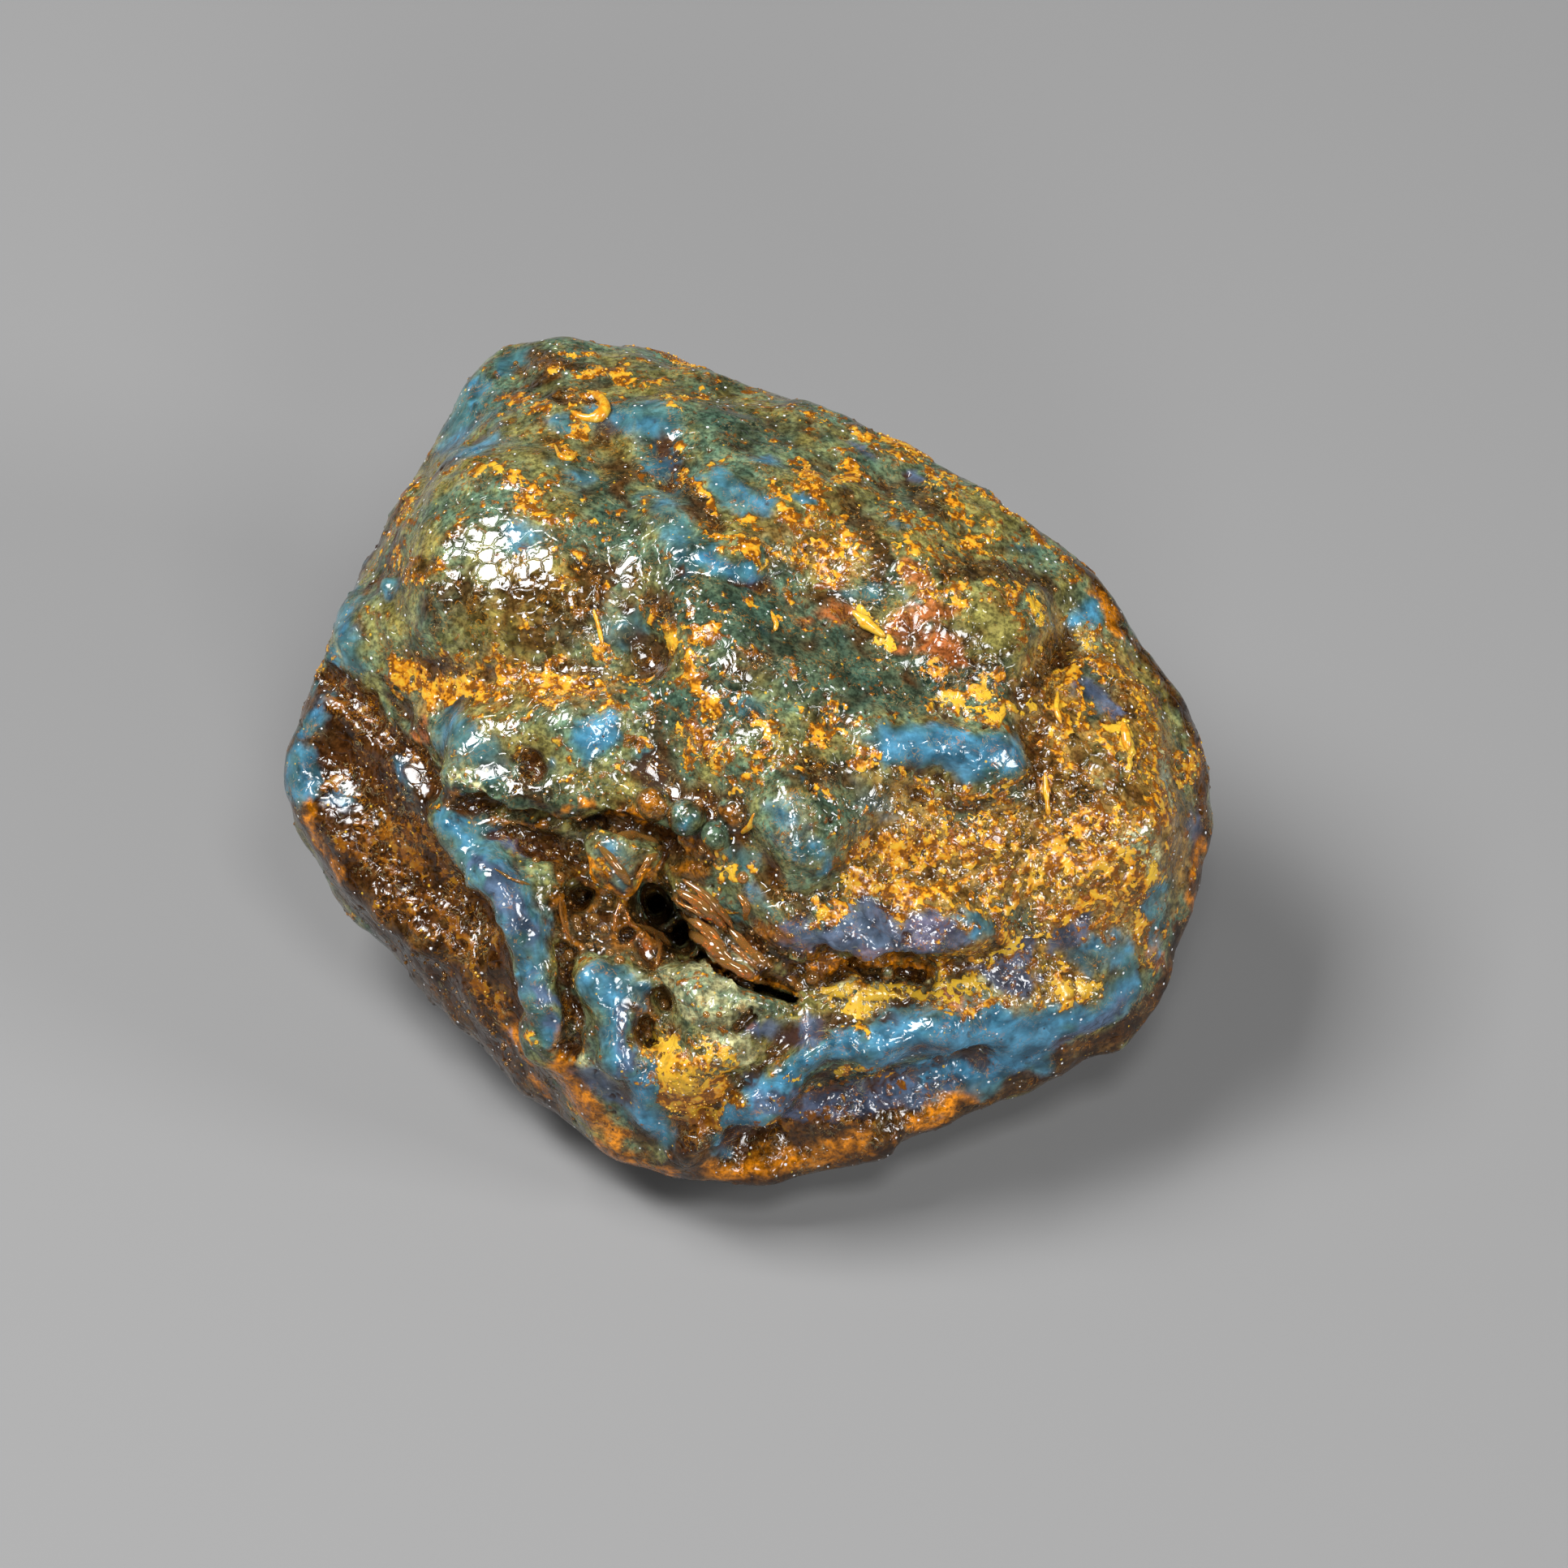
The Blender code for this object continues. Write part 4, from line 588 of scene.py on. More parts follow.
class AmberShape(bpy.types.PropertyGroup):
    """Sizes of the lump's fine surface."""
    skin_step: length("Skin step", "Spacing of the body's mesh while it is sculpted", 0.00017)
    body_triangles: IntProperty(name="Body triangles", description="Triangles of the finished body",
                                default=196000)
    wander: length("Wander", "How far relief and colour stray from their paths", 0.00060)
    swell_height: length("Swells", "Height of the skin's low swells", 0.00110)
    grain_height: length("Grain", "Height of the skin's fine grain", 0.00007)
    cell_size: length("Cell size", "Size of the domes that break up the gloss", 0.00110)
    cell_depth: length("Cell depth", "Depth of the grooves between them", 0.00010)
    pit_depth: length("Pit depth", "Depth of the scattered pinholes", 0.00022)
    crust_height: length("Crust height", "Thickness of the ochre crust", 0.00010)
    bead_radius: length("Bead radius", "Largest radius of the small wet beads", 0.00016)
    bead_density: amount("Beads", "Wet beads on a square millimetre of the hollows", 2.4)
    grain_radius: length("Grain radius", "Largest radius of a grain of crust", 0.00009)
    grain_density: amount("Grains", "Grains on a square millimetre of crust", 7.0)


class AmberColours(bpy.types.PropertyGroup):
    """Colours of the lump's layers."""
    teal: colour("Teal", "Grey-green of the plain skin", (0.084, 0.148, 0.094))
    olive: colour("Olive", "Yellow-green of the plain skin", (0.190, 0.165, 0.045))
    moss: colour("Moss", "Yellow-green film on the plain skin", (0.260, 0.240, 0.060))
    umber: colour("Umber", "Brown flecks of the plain skin", (0.090, 0.040, 0.009))
    honey: colour("Honey", "Golden brown of the worn right side", (0.290, 0.150, 0.028))
    blue: colour("Blue", "Clean blue glassy resin", (0.056, 0.235, 0.390))
    deep_blue: colour("Deep blue", "Darker teal of the blue resin", (0.052, 0.150, 0.160))
    ochre: colour("Ochre", "Orange crust", (0.520, 0.195, 0.008))
    # rust is also the painted shade of the crust on the amber layer
    rust: colour("Rust", "Dark side of the crust", (0.150, 0.048, 0.004))
    yellow: colour("Yellow", "Lemon-yellow crust", (0.620, 0.380, 0.030))
    # brown is also painted shade in the hollows, under the ledge and in cracks
    brown: colour("Brown", "Dark wet resin in the hollows", (0.045, 0.015, 0.003))
    green: colour("Green", "Dark bottle-green fibrous skin", (0.032, 0.066, 0.046))
    pale: colour("Pale", "Chalky cream plate", (0.520, 0.490, 0.240))
    red: colour("Red", "Red-orange stain", (0.330, 0.090, 0.020))
    # amber is dark resin and also painted shade on the left face, rims and underside
    amber: colour("Amber", "Clear amber of the thin edges", (0.046, 0.012, 0.0004))
    # glow is painted light: the orange of light through the thinnest edges
    glow: colour("Glow", "Bright translucent orange of the thinnest edges", (0.620, 0.200, 0.004))
    slate: colour("Slate", "Smooth slate-violet resin", (0.080, 0.112, 0.190))
    hair: colour("Hair", "Pale curling hairs in the skin", (0.310, 0.280, 0.140))
    # painted highlights: near-white specks in the colour where tiny glints would be
    sparkle: colour("Sparkle", "Wet bright specks", (0.850, 0.870, 0.900))
    resin: colour("Resin", "Clear resin of the drops and splinters", (0.660, 0.320, 0.070))


class AmberStage(bpy.types.PropertyGroup):
    """Camera, lights and floor."""
    key_power: amount("Key", "Power of the main softbox, in watts", 5.4)
    front_power: amount("Front", "Power of the small softbox by the camera, in watts", 1.35)
    fill_power: amount("Fill", "Power of the fill from the right, in watts", 1.8)
    low_power: amount("Low", "Power of the small light below the camera, in watts", 1.2)
    sky: amount("Sky", "Brightness of the surroundings", 0.03)
    floor: colour("Floor", "Colour of the floor", (0.135, 0.135, 0.135))


# ------------------------------------------------------------------------------- sculpting and painting

def side_point(side, across, up, out=0.0):
    """Turn a place told from one side, in millimetres, into the frame's own metres."""
    right, top, outward = SIDES[side]
    return (FACE_MIDDLE + right * across + top * up + outward * out) * MM


def sight_line(side, across, up):
    """Return where a sight line onto a place starts, and its direction."""
    target = side_point(side, across, up)
    if side == "face":
        start = side_point(side, *EYE)
    else:
        start = side_point(side, across, up, RAY_START)
    return start, (target - start).normalized()


def surface_tree(mesh):
    """Return a tree that finds where a ray meets the mesh."""
    shape = bmesh.new()
    shape.from_mesh(mesh)
    tree = BVHTree.FromBMesh(shape)
    shape.free()
    return tree


def path_on_surface(tree, side, path, step=PATH_STEP):
    """Lay a path on the surface, as points a small step apart."""
    turns = list(zip(path[0::2], path[1::2]))
    laid = []
    for (a_across, a_up), (b_across, b_up) in zip(turns, turns[1:]):
        count = max(1, int(math.hypot(b_across - a_across, b_up - a_up) / step))
        for index in range(count + 1):
            share = index / count
            across, up = a_across + (b_across - a_across) * share, a_up + (b_up - a_up) * share
            start, direction = sight_line(side, across, up)
            hit = tree.ray_cast(start, direction)[0]
            if hit is None:
                hit = tree.find_nearest(side_point(side, across, up))[0]
            laid.append(tuple(hit))
    return np.array(laid)


def vertex_array(mesh, name):
    """Return the mesh's vertex places or normals as rows."""
    values = np.empty(len(mesh.vertices) * 3, np.float32)
    mesh.vertices.foreach_get(name, values)
    return values.reshape(-1, 3).astype(float)


def move_vertices(mesh, places):
    """Put the mesh's vertices at the given places."""
    mesh.vertices.foreach_set("co", places.astype(np.float32).ravel())
    mesh.update()


def strayed(places, wander, spacing):
    """Shift places unevenly, so that what is measured from them has natural edges."""
    drift = np.empty_like(places)
    for axis in range(3):
        offset = DRIFT_OFFSET * (axis + 1)
        drift[:, axis] = [noise.noise(Vector(place) / spacing + offset)
                          + 0.5 * noise.noise(Vector(place) / (spacing * 0.35) + offset)
                          for place in places]
    return places + drift * wander


def near_path(places, laid, width):
    """Return the vertices within the width of the path, and how far away each is, as a share of it."""
    low = laid.min(axis=0) - width
    high = laid.max(axis=0) + width
    near = np.where(((places > low) & (places < high)).all(axis=1))[0]
    reach = np.full(len(near), np.inf)
    for point in laid:
        reach = np.minimum(reach, ((places[near] - point) ** 2).sum(axis=1))
    share = np.sqrt(reach) / width
    inside = share < 1.0
    return near[inside], share[inside]


PROFILES = {
    "soft": lambda share: (1.0 - share ** 2) ** 2,
    "crisp": lambda share: (1.0 - share) ** 1.4,
    "bowl": lambda share: np.sqrt(1.0 - share ** 2),
}


def sculpt(mesh, strokes, wander):
    """Push the skin out or in along every stroke."""
    places = vertex_array(mesh, "co")
    normals = vertex_array(mesh, "normal")
    tree = surface_tree(mesh)
    measured = strayed(places, wander, RELIEF_DRIFT * MM)
    steady = places + (measured - places) * BOWL_WANDER
    outward = np.array(SIDES["face"][2])
    for stroke in strokes:
        bowl = stroke.form == "bowl"
        laid = path_on_surface(tree, "face", stroke.path)
        near, share = near_path(steady if bowl else measured, laid, stroke.width * MM)
        push = PROFILES[stroke.form](share) * stroke.height * MM
        places[near] += (outward if bowl else normals[near]) * push[:, None]
    move_vertices(mesh, places)


def paint(mesh, wander):
    """Write each colour layer on the mesh as a soft mask."""
    places = vertex_array(mesh, "co")
    tree = surface_tree(mesh)
    measured = strayed(places, wander * COLOUR_REACH, COLOUR_DRIFT * MM)
    masks = {layer: np.zeros(len(places), np.float32) for layer in LAYERS}
    for (side, layer), patches in PATCHES.items():
        mask = masks[layer]
        for width, strength, *path in patches:
            laid = path_on_surface(tree, side, path)
            near, share = near_path(measured, laid, width * COLOUR_REACH * MM)
            mask[near] = np.maximum(mask[near], (1.0 - share ** 2) * strength)
    for layer, mask in masks.items():
        attribute = mesh.attributes.get(layer) or mesh.attributes.new(layer, "FLOAT", "POINT")
        attribute.data.foreach_set("value", mask)


# ----------------------------------------------------------------------------------------- node wiring

class Wires:
    """Adds nodes to a tree, so that a pattern reads as a formula."""

    def __init__(self, tree):
        self.tree = tree

    def node(self, kind, inputs=None, **settings):
        """Add a node, set its settings, and fill its inputs with values or sockets."""
        node = self.tree.nodes.new(kind)
        for key, value in settings.items():
            setattr(node, key, value)
        for key, value in (inputs or {}).items():
            self.fill(node.inputs[key], value)
        return node

    def fill(self, socket, value):
        """Join a socket to an input, or set the input's value."""
        if isinstance(value, bpy.types.NodeSocket):
            self.tree.links.new(value, socket)
        else:
            socket.default_value = value

    def math(self, operation, first, second=0.0):
        """Work out one number from one or two others."""
        return self.node("ShaderNodeMath", {0: first, 1: second}, operation=operation).outputs[0]

    def add(self, first, second):
        """Add two numbers."""
        return self.math("ADD", first, second)

    def times(self, first, second):
        """Multiply two numbers."""
        return self.math("MULTIPLY", first, second)

    def most(self, first, *others):
        """Return the largest of the numbers."""
        for other in others:
            first = self.math("MAXIMUM", first, other)
        return first

    def step(self, value, low, high, start=0.0, end=1.0):
        """Run smoothly from start to end as the value goes from low to high."""
        node = self.node("ShaderNodeMapRange", {"Value": value, "From Min": low, "From Max": high,
                                                "To Min": start, "To Max": end},
                         interpolation_type="SMOOTHSTEP")
        return node.outputs[0]

    def scaled(self, vector, scale):
        """Scale a vector."""
        node = self.node("ShaderNodeVectorMath", {0: vector, "Scale": scale}, operation="SCALE")
        return node.outputs[0]

    def moved(self, vector, offset):
        """Add two vectors."""
        return self.node("ShaderNodeVectorMath", {0: vector, 1: offset}, operation="ADD").outputs[0]

    def noise(self, vector, scale, detail=2.0, roughness=0.5, distortion=0.0):
        """Return cloudy noise between about 0.2 and 0.8."""
        node = self.node("ShaderNodeTexNoise", {"Vector": vector, "Scale": scale, "Detail": detail,
                                                "Roughness": roughness, "Distortion": distortion})
        return node.outputs[0]

    def ripples(self, *pattern):
        """Return the same noise, but around nought."""
        return self.add(self.noise(*pattern), -0.5)

    def drifted(self, vector, scale, amount):
        """Shift a vector unevenly, so that what follows it flows."""
        node = self.node("ShaderNodeTexNoise", {"Vector": vector, "Scale": scale, "Detail": 2.0})
        centred = self.node("ShaderNodeVectorMath", {0: node.outputs["Color"], 1: (0.5, 0.5, 0.5)},
                            operation="SUBTRACT").outputs[0]
        return self.moved(vector, self.scaled(centred, amount))

    def cells(self, vector, scale, feature="F1"):
        """Return the distance to a cell pattern's middles, or to its edges."""
        node = self.node("ShaderNodeTexVoronoi", {"Vector": vector, "Scale": scale}, feature=feature)
        return node.outputs["Distance"]

    def mix(self, share, first, second):
        """Mix two colours."""
        return self.node("ShaderNodeMix", {"Factor": share, 6: first, 7: second},
                         data_type="RGBA").outputs[2]

    def over(self, skin, mask, tint, strength=1.0):
        """Lay a colour on the skin where the mask is."""
        return self.mix(self.times(mask, strength), skin, tint)

    def layer(self, name):
        """Read a painted layer in a geometry tree."""
        return self.node("GeometryNodeInputNamedAttribute", {"Name": name}, data_type="FLOAT").outputs[0]

    def position(self):
        """Return a place on the mesh, in millimetres, in a geometry tree."""
        return self.scaled(self.node("GeometryNodeInputPosition").outputs[0], 1.0 / MM)

    def painted(self, name, output="Fac"):
        """Read what is painted on the mesh in a material."""
        return self.node("ShaderNodeAttribute", attribute_name=name).outputs[output]

    def surface(self):
        """Return a place on the surface, in millimetres, in a material."""
        return self.scaled(self.node("ShaderNodeTexCoord").outputs["Object"], 1.0 / MM)

    def dots(self, vector, scale, radius, chosen):
        """Return scattered dots: a chosen share of the cells each hold one."""
        near = self.node("ShaderNodeTexVoronoi", {"Vector": vector, "Scale": scale})
        pick = self.node("ShaderNodeSeparateXYZ", {0: near.outputs["Color"]})
        inside = self.step(near.outputs["Distance"], radius, radius * 0.5)
        return self.times(inside, self.math("LESS_THAN", pick.outputs[0], chosen))


def new_tree(name, kind, inputs, outputs):
    """Make a node tree with named inputs and outputs: (name, socket type, default)."""
    tree = bpy.data.node_groups.new(name, kind)
    for title, socket_type, default in inputs:
        socket = tree.interface.new_socket(title, in_out="INPUT", socket_type=socket_type)
        if default is not None:
            socket.default_value = default
    for title, socket_type in outputs:
        tree.interface.new_socket(title, in_out="OUTPUT", socket_type=socket_type)
    return tree


def run_geometry(piece, tree, values):
    """Run a geometry tree on the piece and keep what it makes as a plain mesh."""
    modifier = piece.modifiers.new(tree.name, "NODES")
    modifier.node_group = tree
    for socket in tree.interface.items_tree:
        if socket.item_type == "SOCKET" and socket.in_out == "INPUT" and socket.name in values:
            modifier[socket.identifier] = values[socket.name]
    keep_modifiers(piece)


def keep_modifiers(piece):
    """Replace the piece's mesh by what its modifiers make of it."""
    graph = bpy.context.evaluated_depsgraph_get()
    finished = bpy.data.meshes.new_from_object(piece.evaluated_get(graph))
    finished.name = piece.name
    spent = piece.data
    piece.modifiers.clear()
    piece.data = finished
    if spent.users == 0:
        bpy.data.meshes.remove(spent)


def rgba(colour_value):
    """Return a colour property as a socket's four numbers."""
    return (*colour_value, 1.0)


def crust_edge(wires, coords, mask):
    """Break a soft mask's edge into lacy, ragged crust; coords are in millimetres."""
    ragged = wires.add(wires.times(wires.noise(coords, 1.1, 1.0, 0.5), CRUST_NOISE),
                       wires.times(wires.noise(coords, 2.6, 1.0, 0.5), CRUST_NOISE))
    gaps = wires.step(wires.noise(coords, 0.5, 1.0, 0.5), 0.50, 0.62, 0.0, -0.40)
    bend = wires.math("ABSOLUTE", wires.ripples(coords, 0.9, 2.0, 0.6, 1.0))
    threads = wires.times(wires.step(bend, 0.035, 0.0), wires.step(mask, 0.1, 0.5, 0.0, 0.65))
    holes = wires.dots(wires.drifted(coords, 1.3, 0.5), 1.5, 0.40, 0.65)
    worn = wires.add(wires.times(holes, -0.75), gaps)
    return wires.add(wires.add(mask, threads), wires.add(wires.add(ragged, worn), CRUST_LEVEL))


# --------------------------------------------------------------------------------------------- the body

def skin_tree():
    """Geometry tree: swells, dimples, grain, pinholes and crust on the body's skin."""
    tree = new_tree("weathered_skin", "GeometryNodeTree",
                    [GEOMETRY_IN] + [(name, "NodeSocketFloat", MM) for name in SKIN_INPUTS],
                    [GEOMETRY_OUT])
    wires = Wires(tree)
    given = wires.node("NodeGroupInput").outputs
    coords = wires.position()
    painted_crust = wires.most(wires.layer("ochre"), wires.layer("yellow"))

    swell = wires.times(wires.ripples(coords, 0.28, 1.0, 0.5), given["Swell Height"])
    rough = wires.step(painted_crust, 0.2, 0.8)
    wrinkle = wires.times(wires.ripples(wires.drifted(coords, 0.5, 1.2), 0.75, 1.0, 0.5),
                          wires.times(given["Grain Height"], wires.step(rough, 0.0, 1.0, 1.2, 3.0)))
    grain = wires.times(wires.ripples(coords, 2.2, 1.0, 0.6), wires.times(given["Grain Height"], rough))
    glass = wires.most(wires.layer("blue"), wires.layer("glow"), wires.layer("brown"))
    calm = wires.step(glass, 0.3, 0.9, 1.0, 0.5)
    cell_scale = wires.math("DIVIDE", MM, given["Cell Size"])
    dimple = wires.cells(wires.drifted(coords, 1.5, 0.35), cell_scale)
    cells = wires.times(wires.times(dimple, dimple), wires.times(given["Cell Depth"], -1.0))
    pits = wires.times(wires.dots(wires.drifted(coords, 1.2, 0.6), 0.95, 0.24, 0.30),
                       wires.times(given["Pit Depth"], -1.0))
    crust = wires.times(wires.step(crust_edge(wires, coords, painted_crust), CRUST_EDGE - 0.15,
                                   CRUST_EDGE + 0.30), given["Crust Height"])
    lift = wires.times(wires.add(wires.add(wrinkle, grain), wires.add(cells, pits)), calm)
    lift = wires.add(wires.add(lift, swell), crust)
    offset = wires.scaled(wires.node("GeometryNodeInputNormal").outputs[0], lift)
    moved = wires.node("GeometryNodeSetPosition", {"Geometry": given["Geometry"], "Offset": offset})
    wires.node("NodeGroupOutput", {"Geometry": moved.outputs[0]})
    return tree


def colour_tree(colours):
    """Geometry tree: break up the painted layers and mix them into the skin's colour."""
    tree = new_tree("painted_skin", "GeometryNodeTree",
                    [GEOMETRY_IN] + [(name, "NodeSocketColor", rgba(getattr(colours, name)))
                                     for name in colours.__annotations__], [GEOMETRY_OUT])
    wires = Wires(tree)
    given = wires.node("NodeGroupInput").outputs
    coords = wires.position()
    flow = wires.drifted(coords, 0.35, 2.4)
    curl = wires.drifted(coords, 1.0, 1.0)

    def ragged(name, scale, spread, low, high):
        """Return a painted layer with a broken edge."""
        broken = wires.times(wires.ripples(curl, scale, 5.0, 0.65), spread)
        return wires.step(wires.add(wires.layer(name), broken), low, high)

    # how far the skin lies below its surroundings, in millimetres
    blurred = wires.node("GeometryNodeBlurAttribute", {"Iterations": CAVITY_PASSES},
                         data_type="FLOAT_VECTOR")
    blurred_in, blurred_out = [next(socket for socket in sockets if socket.type == "VECTOR")
                               for sockets in (blurred.inputs, blurred.outputs)]
    wires.fill(blurred_in, coords)
    toward = wires.node("ShaderNodeVectorMath", {0: blurred_out, 1: coords}, operation="SUBTRACT")
    cavity = wires.node("ShaderNodeVectorMath",
                        {0: toward.outputs[0], 1: wires.node("GeometryNodeInputNormal").outputs[0]},
                        operation="DOT_PRODUCT").outputs["Value"]

    # plain skin: teal that runs into olive and moss, with brown stains and pale films
    clouds = wires.add(wires.noise(flow, 0.26, 5.0, 0.60), wires.times(wires.layer("olive"), 0.14))
    skin = wires.mix(wires.step(clouds, 0.41, 0.62), given["teal"], given["olive"])
    moss = wires.step(wires.noise(wires.moved(curl, (6.0, 2.0, 11.0)), 0.7, 6.0, 0.75), 0.50, 0.68)
    skin = wires.over(skin, moss, given["moss"], 0.75)
    stains = wires.step(wires.noise(flow, 0.55, 6.0, 0.74), 0.50, 0.64)
    skin = wires.over(skin, stains, given["umber"], 0.85)
    films = wires.step(wires.noise(wires.moved(curl, (26.0, 12.0, 3.0)), 0.9, 5.0, 0.72), 0.56, 0.70)
    skin = wires.over(skin, films, given["hair"], 0.55)

    # the painted layers: name, spacing and strength of the noise, where it starts, where it is full,
    # colour and strength
    amber_tone = wires.mix(wires.step(wires.noise(flow, 0.8, 5.0, 0.7), 0.42, 0.62), given["amber"],
                           given["umber"])
    chalk = wires.mix(wires.step(wires.noise(coords, 1.1, 3.0, 0.7), 0.44, 0.58, 0.0, 0.85),
                      given["pale"], given["teal"])
    for name, scale, spread, low, high, tint, strength in (
            ("honey", 1.2, 2.0, 0.20, 0.90, given["honey"], 0.80),
            ("green", 1.2, 1.4, 0.15, 0.80, given["green"], 0.85),
            # dark amber resin, and painted shade on the left face, rims and underside
            ("amber", 1.0, 1.0, 0.15, 0.55, amber_tone, 0.96),
            # painted light: orange of light coming through the thinnest edges
            ("glow", 1.2, 0.9, 0.30, 0.75, given["glow"], 0.9),
            # dark resin, and painted shadow under the ledge, in cracks and in pits
            ("brown", 1.3, 1.8, 0.25, 0.75, given["brown"], 0.85),
            ("pale", 2.0, 1.6, 0.35, 0.65, chalk, 0.9),
            ("red", 1.6, 1.6, 0.35, 0.75, given["red"], 0.85)):
        skin = wires.over(skin, ragged(name, scale, spread, low, high), tint, strength)

    # blue and slate, murky in places, and blue that is strewn over the plain skin
    strewn = wires.step(wires.noise(wires.moved(flow, (40.0, 7.0, 3.0)), 0.45, 4.0, 0.6), 0.64, 0.75)
    blue = wires.most(ragged("blue", 0.8, 1.6, 0.20, 1.00), wires.times(strewn, 0.6))
    slate = ragged("slate", 1.0, 1.5, 0.25, 0.80)
    murky = wires.times(wires.step(wires.noise(curl, 0.6, 5.0, 0.65), 0.34, 0.54),
                        wires.step(wires.layer("blue"), 1.5, 0.9))
    skin = wires.over(skin, blue, wires.mix(murky, given["blue"], given["deep_blue"]), 0.88)
    skin = wires.over(skin, slate, given["slate"], 0.85)

    # random lighter and darker places, painted shade in the hollows, painted glow on convex edges
    tones = wires.noise(wires.moved(curl, (3.0, 33.0, 13.0)), 0.85, 4.0, 0.7)
    skin = wires.scaled(skin, wires.step(tones, 0.36, 0.64, 0.32, 1.15))
    # painted shade: the brown resin colour where the skin lies below its surroundings
    skin = wires.over(skin, wires.step(cavity, 0.03, 0.16), given["brown"], 0.88)
    # painted light: glow colour on convex edges of the brown resin, as if lit through
    edges = wires.times(wires.step(cavity, -0.02, -0.12), wires.step(wires.layer("brown"), 0.8, 1.2))
    skin = wires.over(skin, edges, given["glow"], 0.30)

    # crust: the painted layers and a little that is strewn, worn away where the skin is wet
    stray = wires.step(wires.noise(wires.moved(flow, (9.0, 21.0, 5.0)), 0.5, 2.0), 0.48, 0.62)
    crust = wires.most(wires.layer("ochre"), wires.layer("yellow"), wires.times(stray, 0.24))
    glassy = wires.most(blue, slate)
    # amber layer, broken up: dark resin, and painted shade on the left face, rims and underside
    deep = ragged("amber", 0.7, 0.9, 0.10, 0.80)
    wet = wires.most(glassy, wires.layer("brown"), wires.times(deep, 0.6), wires.step(cavity, 0.02, 0.12))
    crust = wires.add(crust, wires.times(wet, -0.60))
    stored = given["Geometry"]
    for name, kind, value in (("skin", "FLOAT_COLOR", skin), ("crust", "FLOAT", crust),
                              ("deep", "FLOAT", deep), ("glassy", "FLOAT", glassy)):
        stored = wires.node("GeometryNodeStoreNamedAttribute",
                            {"Geometry": stored, "Name": name, "Value": value},
                            data_type=kind, domain="POINT").outputs[0]
    wires.node("NodeGroupOutput", {"Geometry": stored})
    return tree


def voxel_remesh(piece, step):
    """Give the piece an even mesh."""
    remesh = piece.modifiers.new("even mesh", "REMESH")
    remesh.mode = "VOXEL"
    remesh.voxel_size = step
    keep_modifiers(piece)


def smooth(piece, passes):
    """Round the piece's small edges."""
    modifier = piece.modifiers.new("rounding", "SMOOTH")
    modifier.factor = 0.5
    modifier.iterations = passes
    keep_modifiers(piece)


def thin_out(piece, triangles):
    """Keep the triangles where the skin bends, down to the wanted number."""
    present = sum(len(face.vertices) - 2 for face in piece.data.polygons)
    modifier = piece.modifiers.new("thinned", "DECIMATE")
    modifier.use_collapse_triangulate = True
    modifier.ratio = min(1.0, triangles / present)
    keep_modifiers(piece)


def finished_mesh(shape, name):
    """Turn a shape that is being built into a mesh."""
    mesh = bpy.data.meshes.new(name)
    shape.to_mesh(mesh)
    shape.free()
    return mesh


def blister_mesh(knobs, tree, rise):
    """Make round drops whose middles lie a share of their radius above the skin."""
    shape = bmesh.new()
    for knob in knobs:
        spot = path_on_surface(tree, "face", (knob.across, knob.up, knob.across, knob.up))
        middle = Vector(spot[0]) + SIDES["face"][2] * knob.radius * rise * MM
        bmesh.ops.create_icosphere(shape, subdivisions=3, radius=knob.radius * MM,
                                   matrix=Matrix.Translation(middle))
    return finished_mesh(shape, "blisters")


def blade_mesh(blades, tree):
    """Make long tapered ribs that arch over the skin between the ends of their paths."""
    shape = bmesh.new()
    outward = SIDES["face"][2]
    for blade in blades:
        laid = path_on_surface(tree, "face", blade.path, step=RAY_START)
        turns = np.concatenate([laid[:1], laid[1::2]])
        shares = np.linspace(0.0, len(turns) - 1.0, BLADE_RINGS)
        spine = np.stack([np.interp(shares, np.arange(len(turns)), turns[:, axis])
                          for axis in range(3)], axis=1)
        for _ in range(2):
            spine[1:-1] = (spine[:-2] + 2.0 * spine[1:-1] + spine[2:]) / 4.0
        rings = []
        for index in range(BLADE_RINGS):
            ahead = Vector(spine[min(index + 1, BLADE_RINGS - 1)] - spine[max(index - 1, 0)]).normalized()
            across = ahead.cross(outward).normalized()
            above = across.cross(ahead)
            arch = math.sin(math.pi * index / (BLADE_RINGS - 1.0))
            bulk = BLADE_END + (1.0 - BLADE_END) * arch ** 0.5
            bulk *= 1.0 + 0.5 * noise.noise(Vector(spine[index]) / (BLADE_WAVE * MM))
            middle = Vector(spine[index]) + above * (arch * blade.lift + blade.thick * 0.3) * MM
            ring = []
            for corner in range(BLADE_CORNERS):
                turn = math.tau * corner / BLADE_CORNERS
                offset = across * math.cos(turn) * blade.width + above * math.sin(turn) * blade.thick
                ring.append(shape.verts.new(middle + offset * bulk * MM))
            rings.append(ring)
        for first, second in zip(rings, rings[1:]):
            for corner in range(BLADE_CORNERS):
                after = (corner + 1) % BLADE_CORNERS
                shape.faces.new((first[corner], first[after], second[after], second[corner]))
        shape.faces.new(list(reversed(rings[0])))
        shape.faces.new(rings[-1])
    bmesh.ops.recalc_face_normals(shape, faces=shape.faces[:])
    return finished_mesh(shape, "blades")


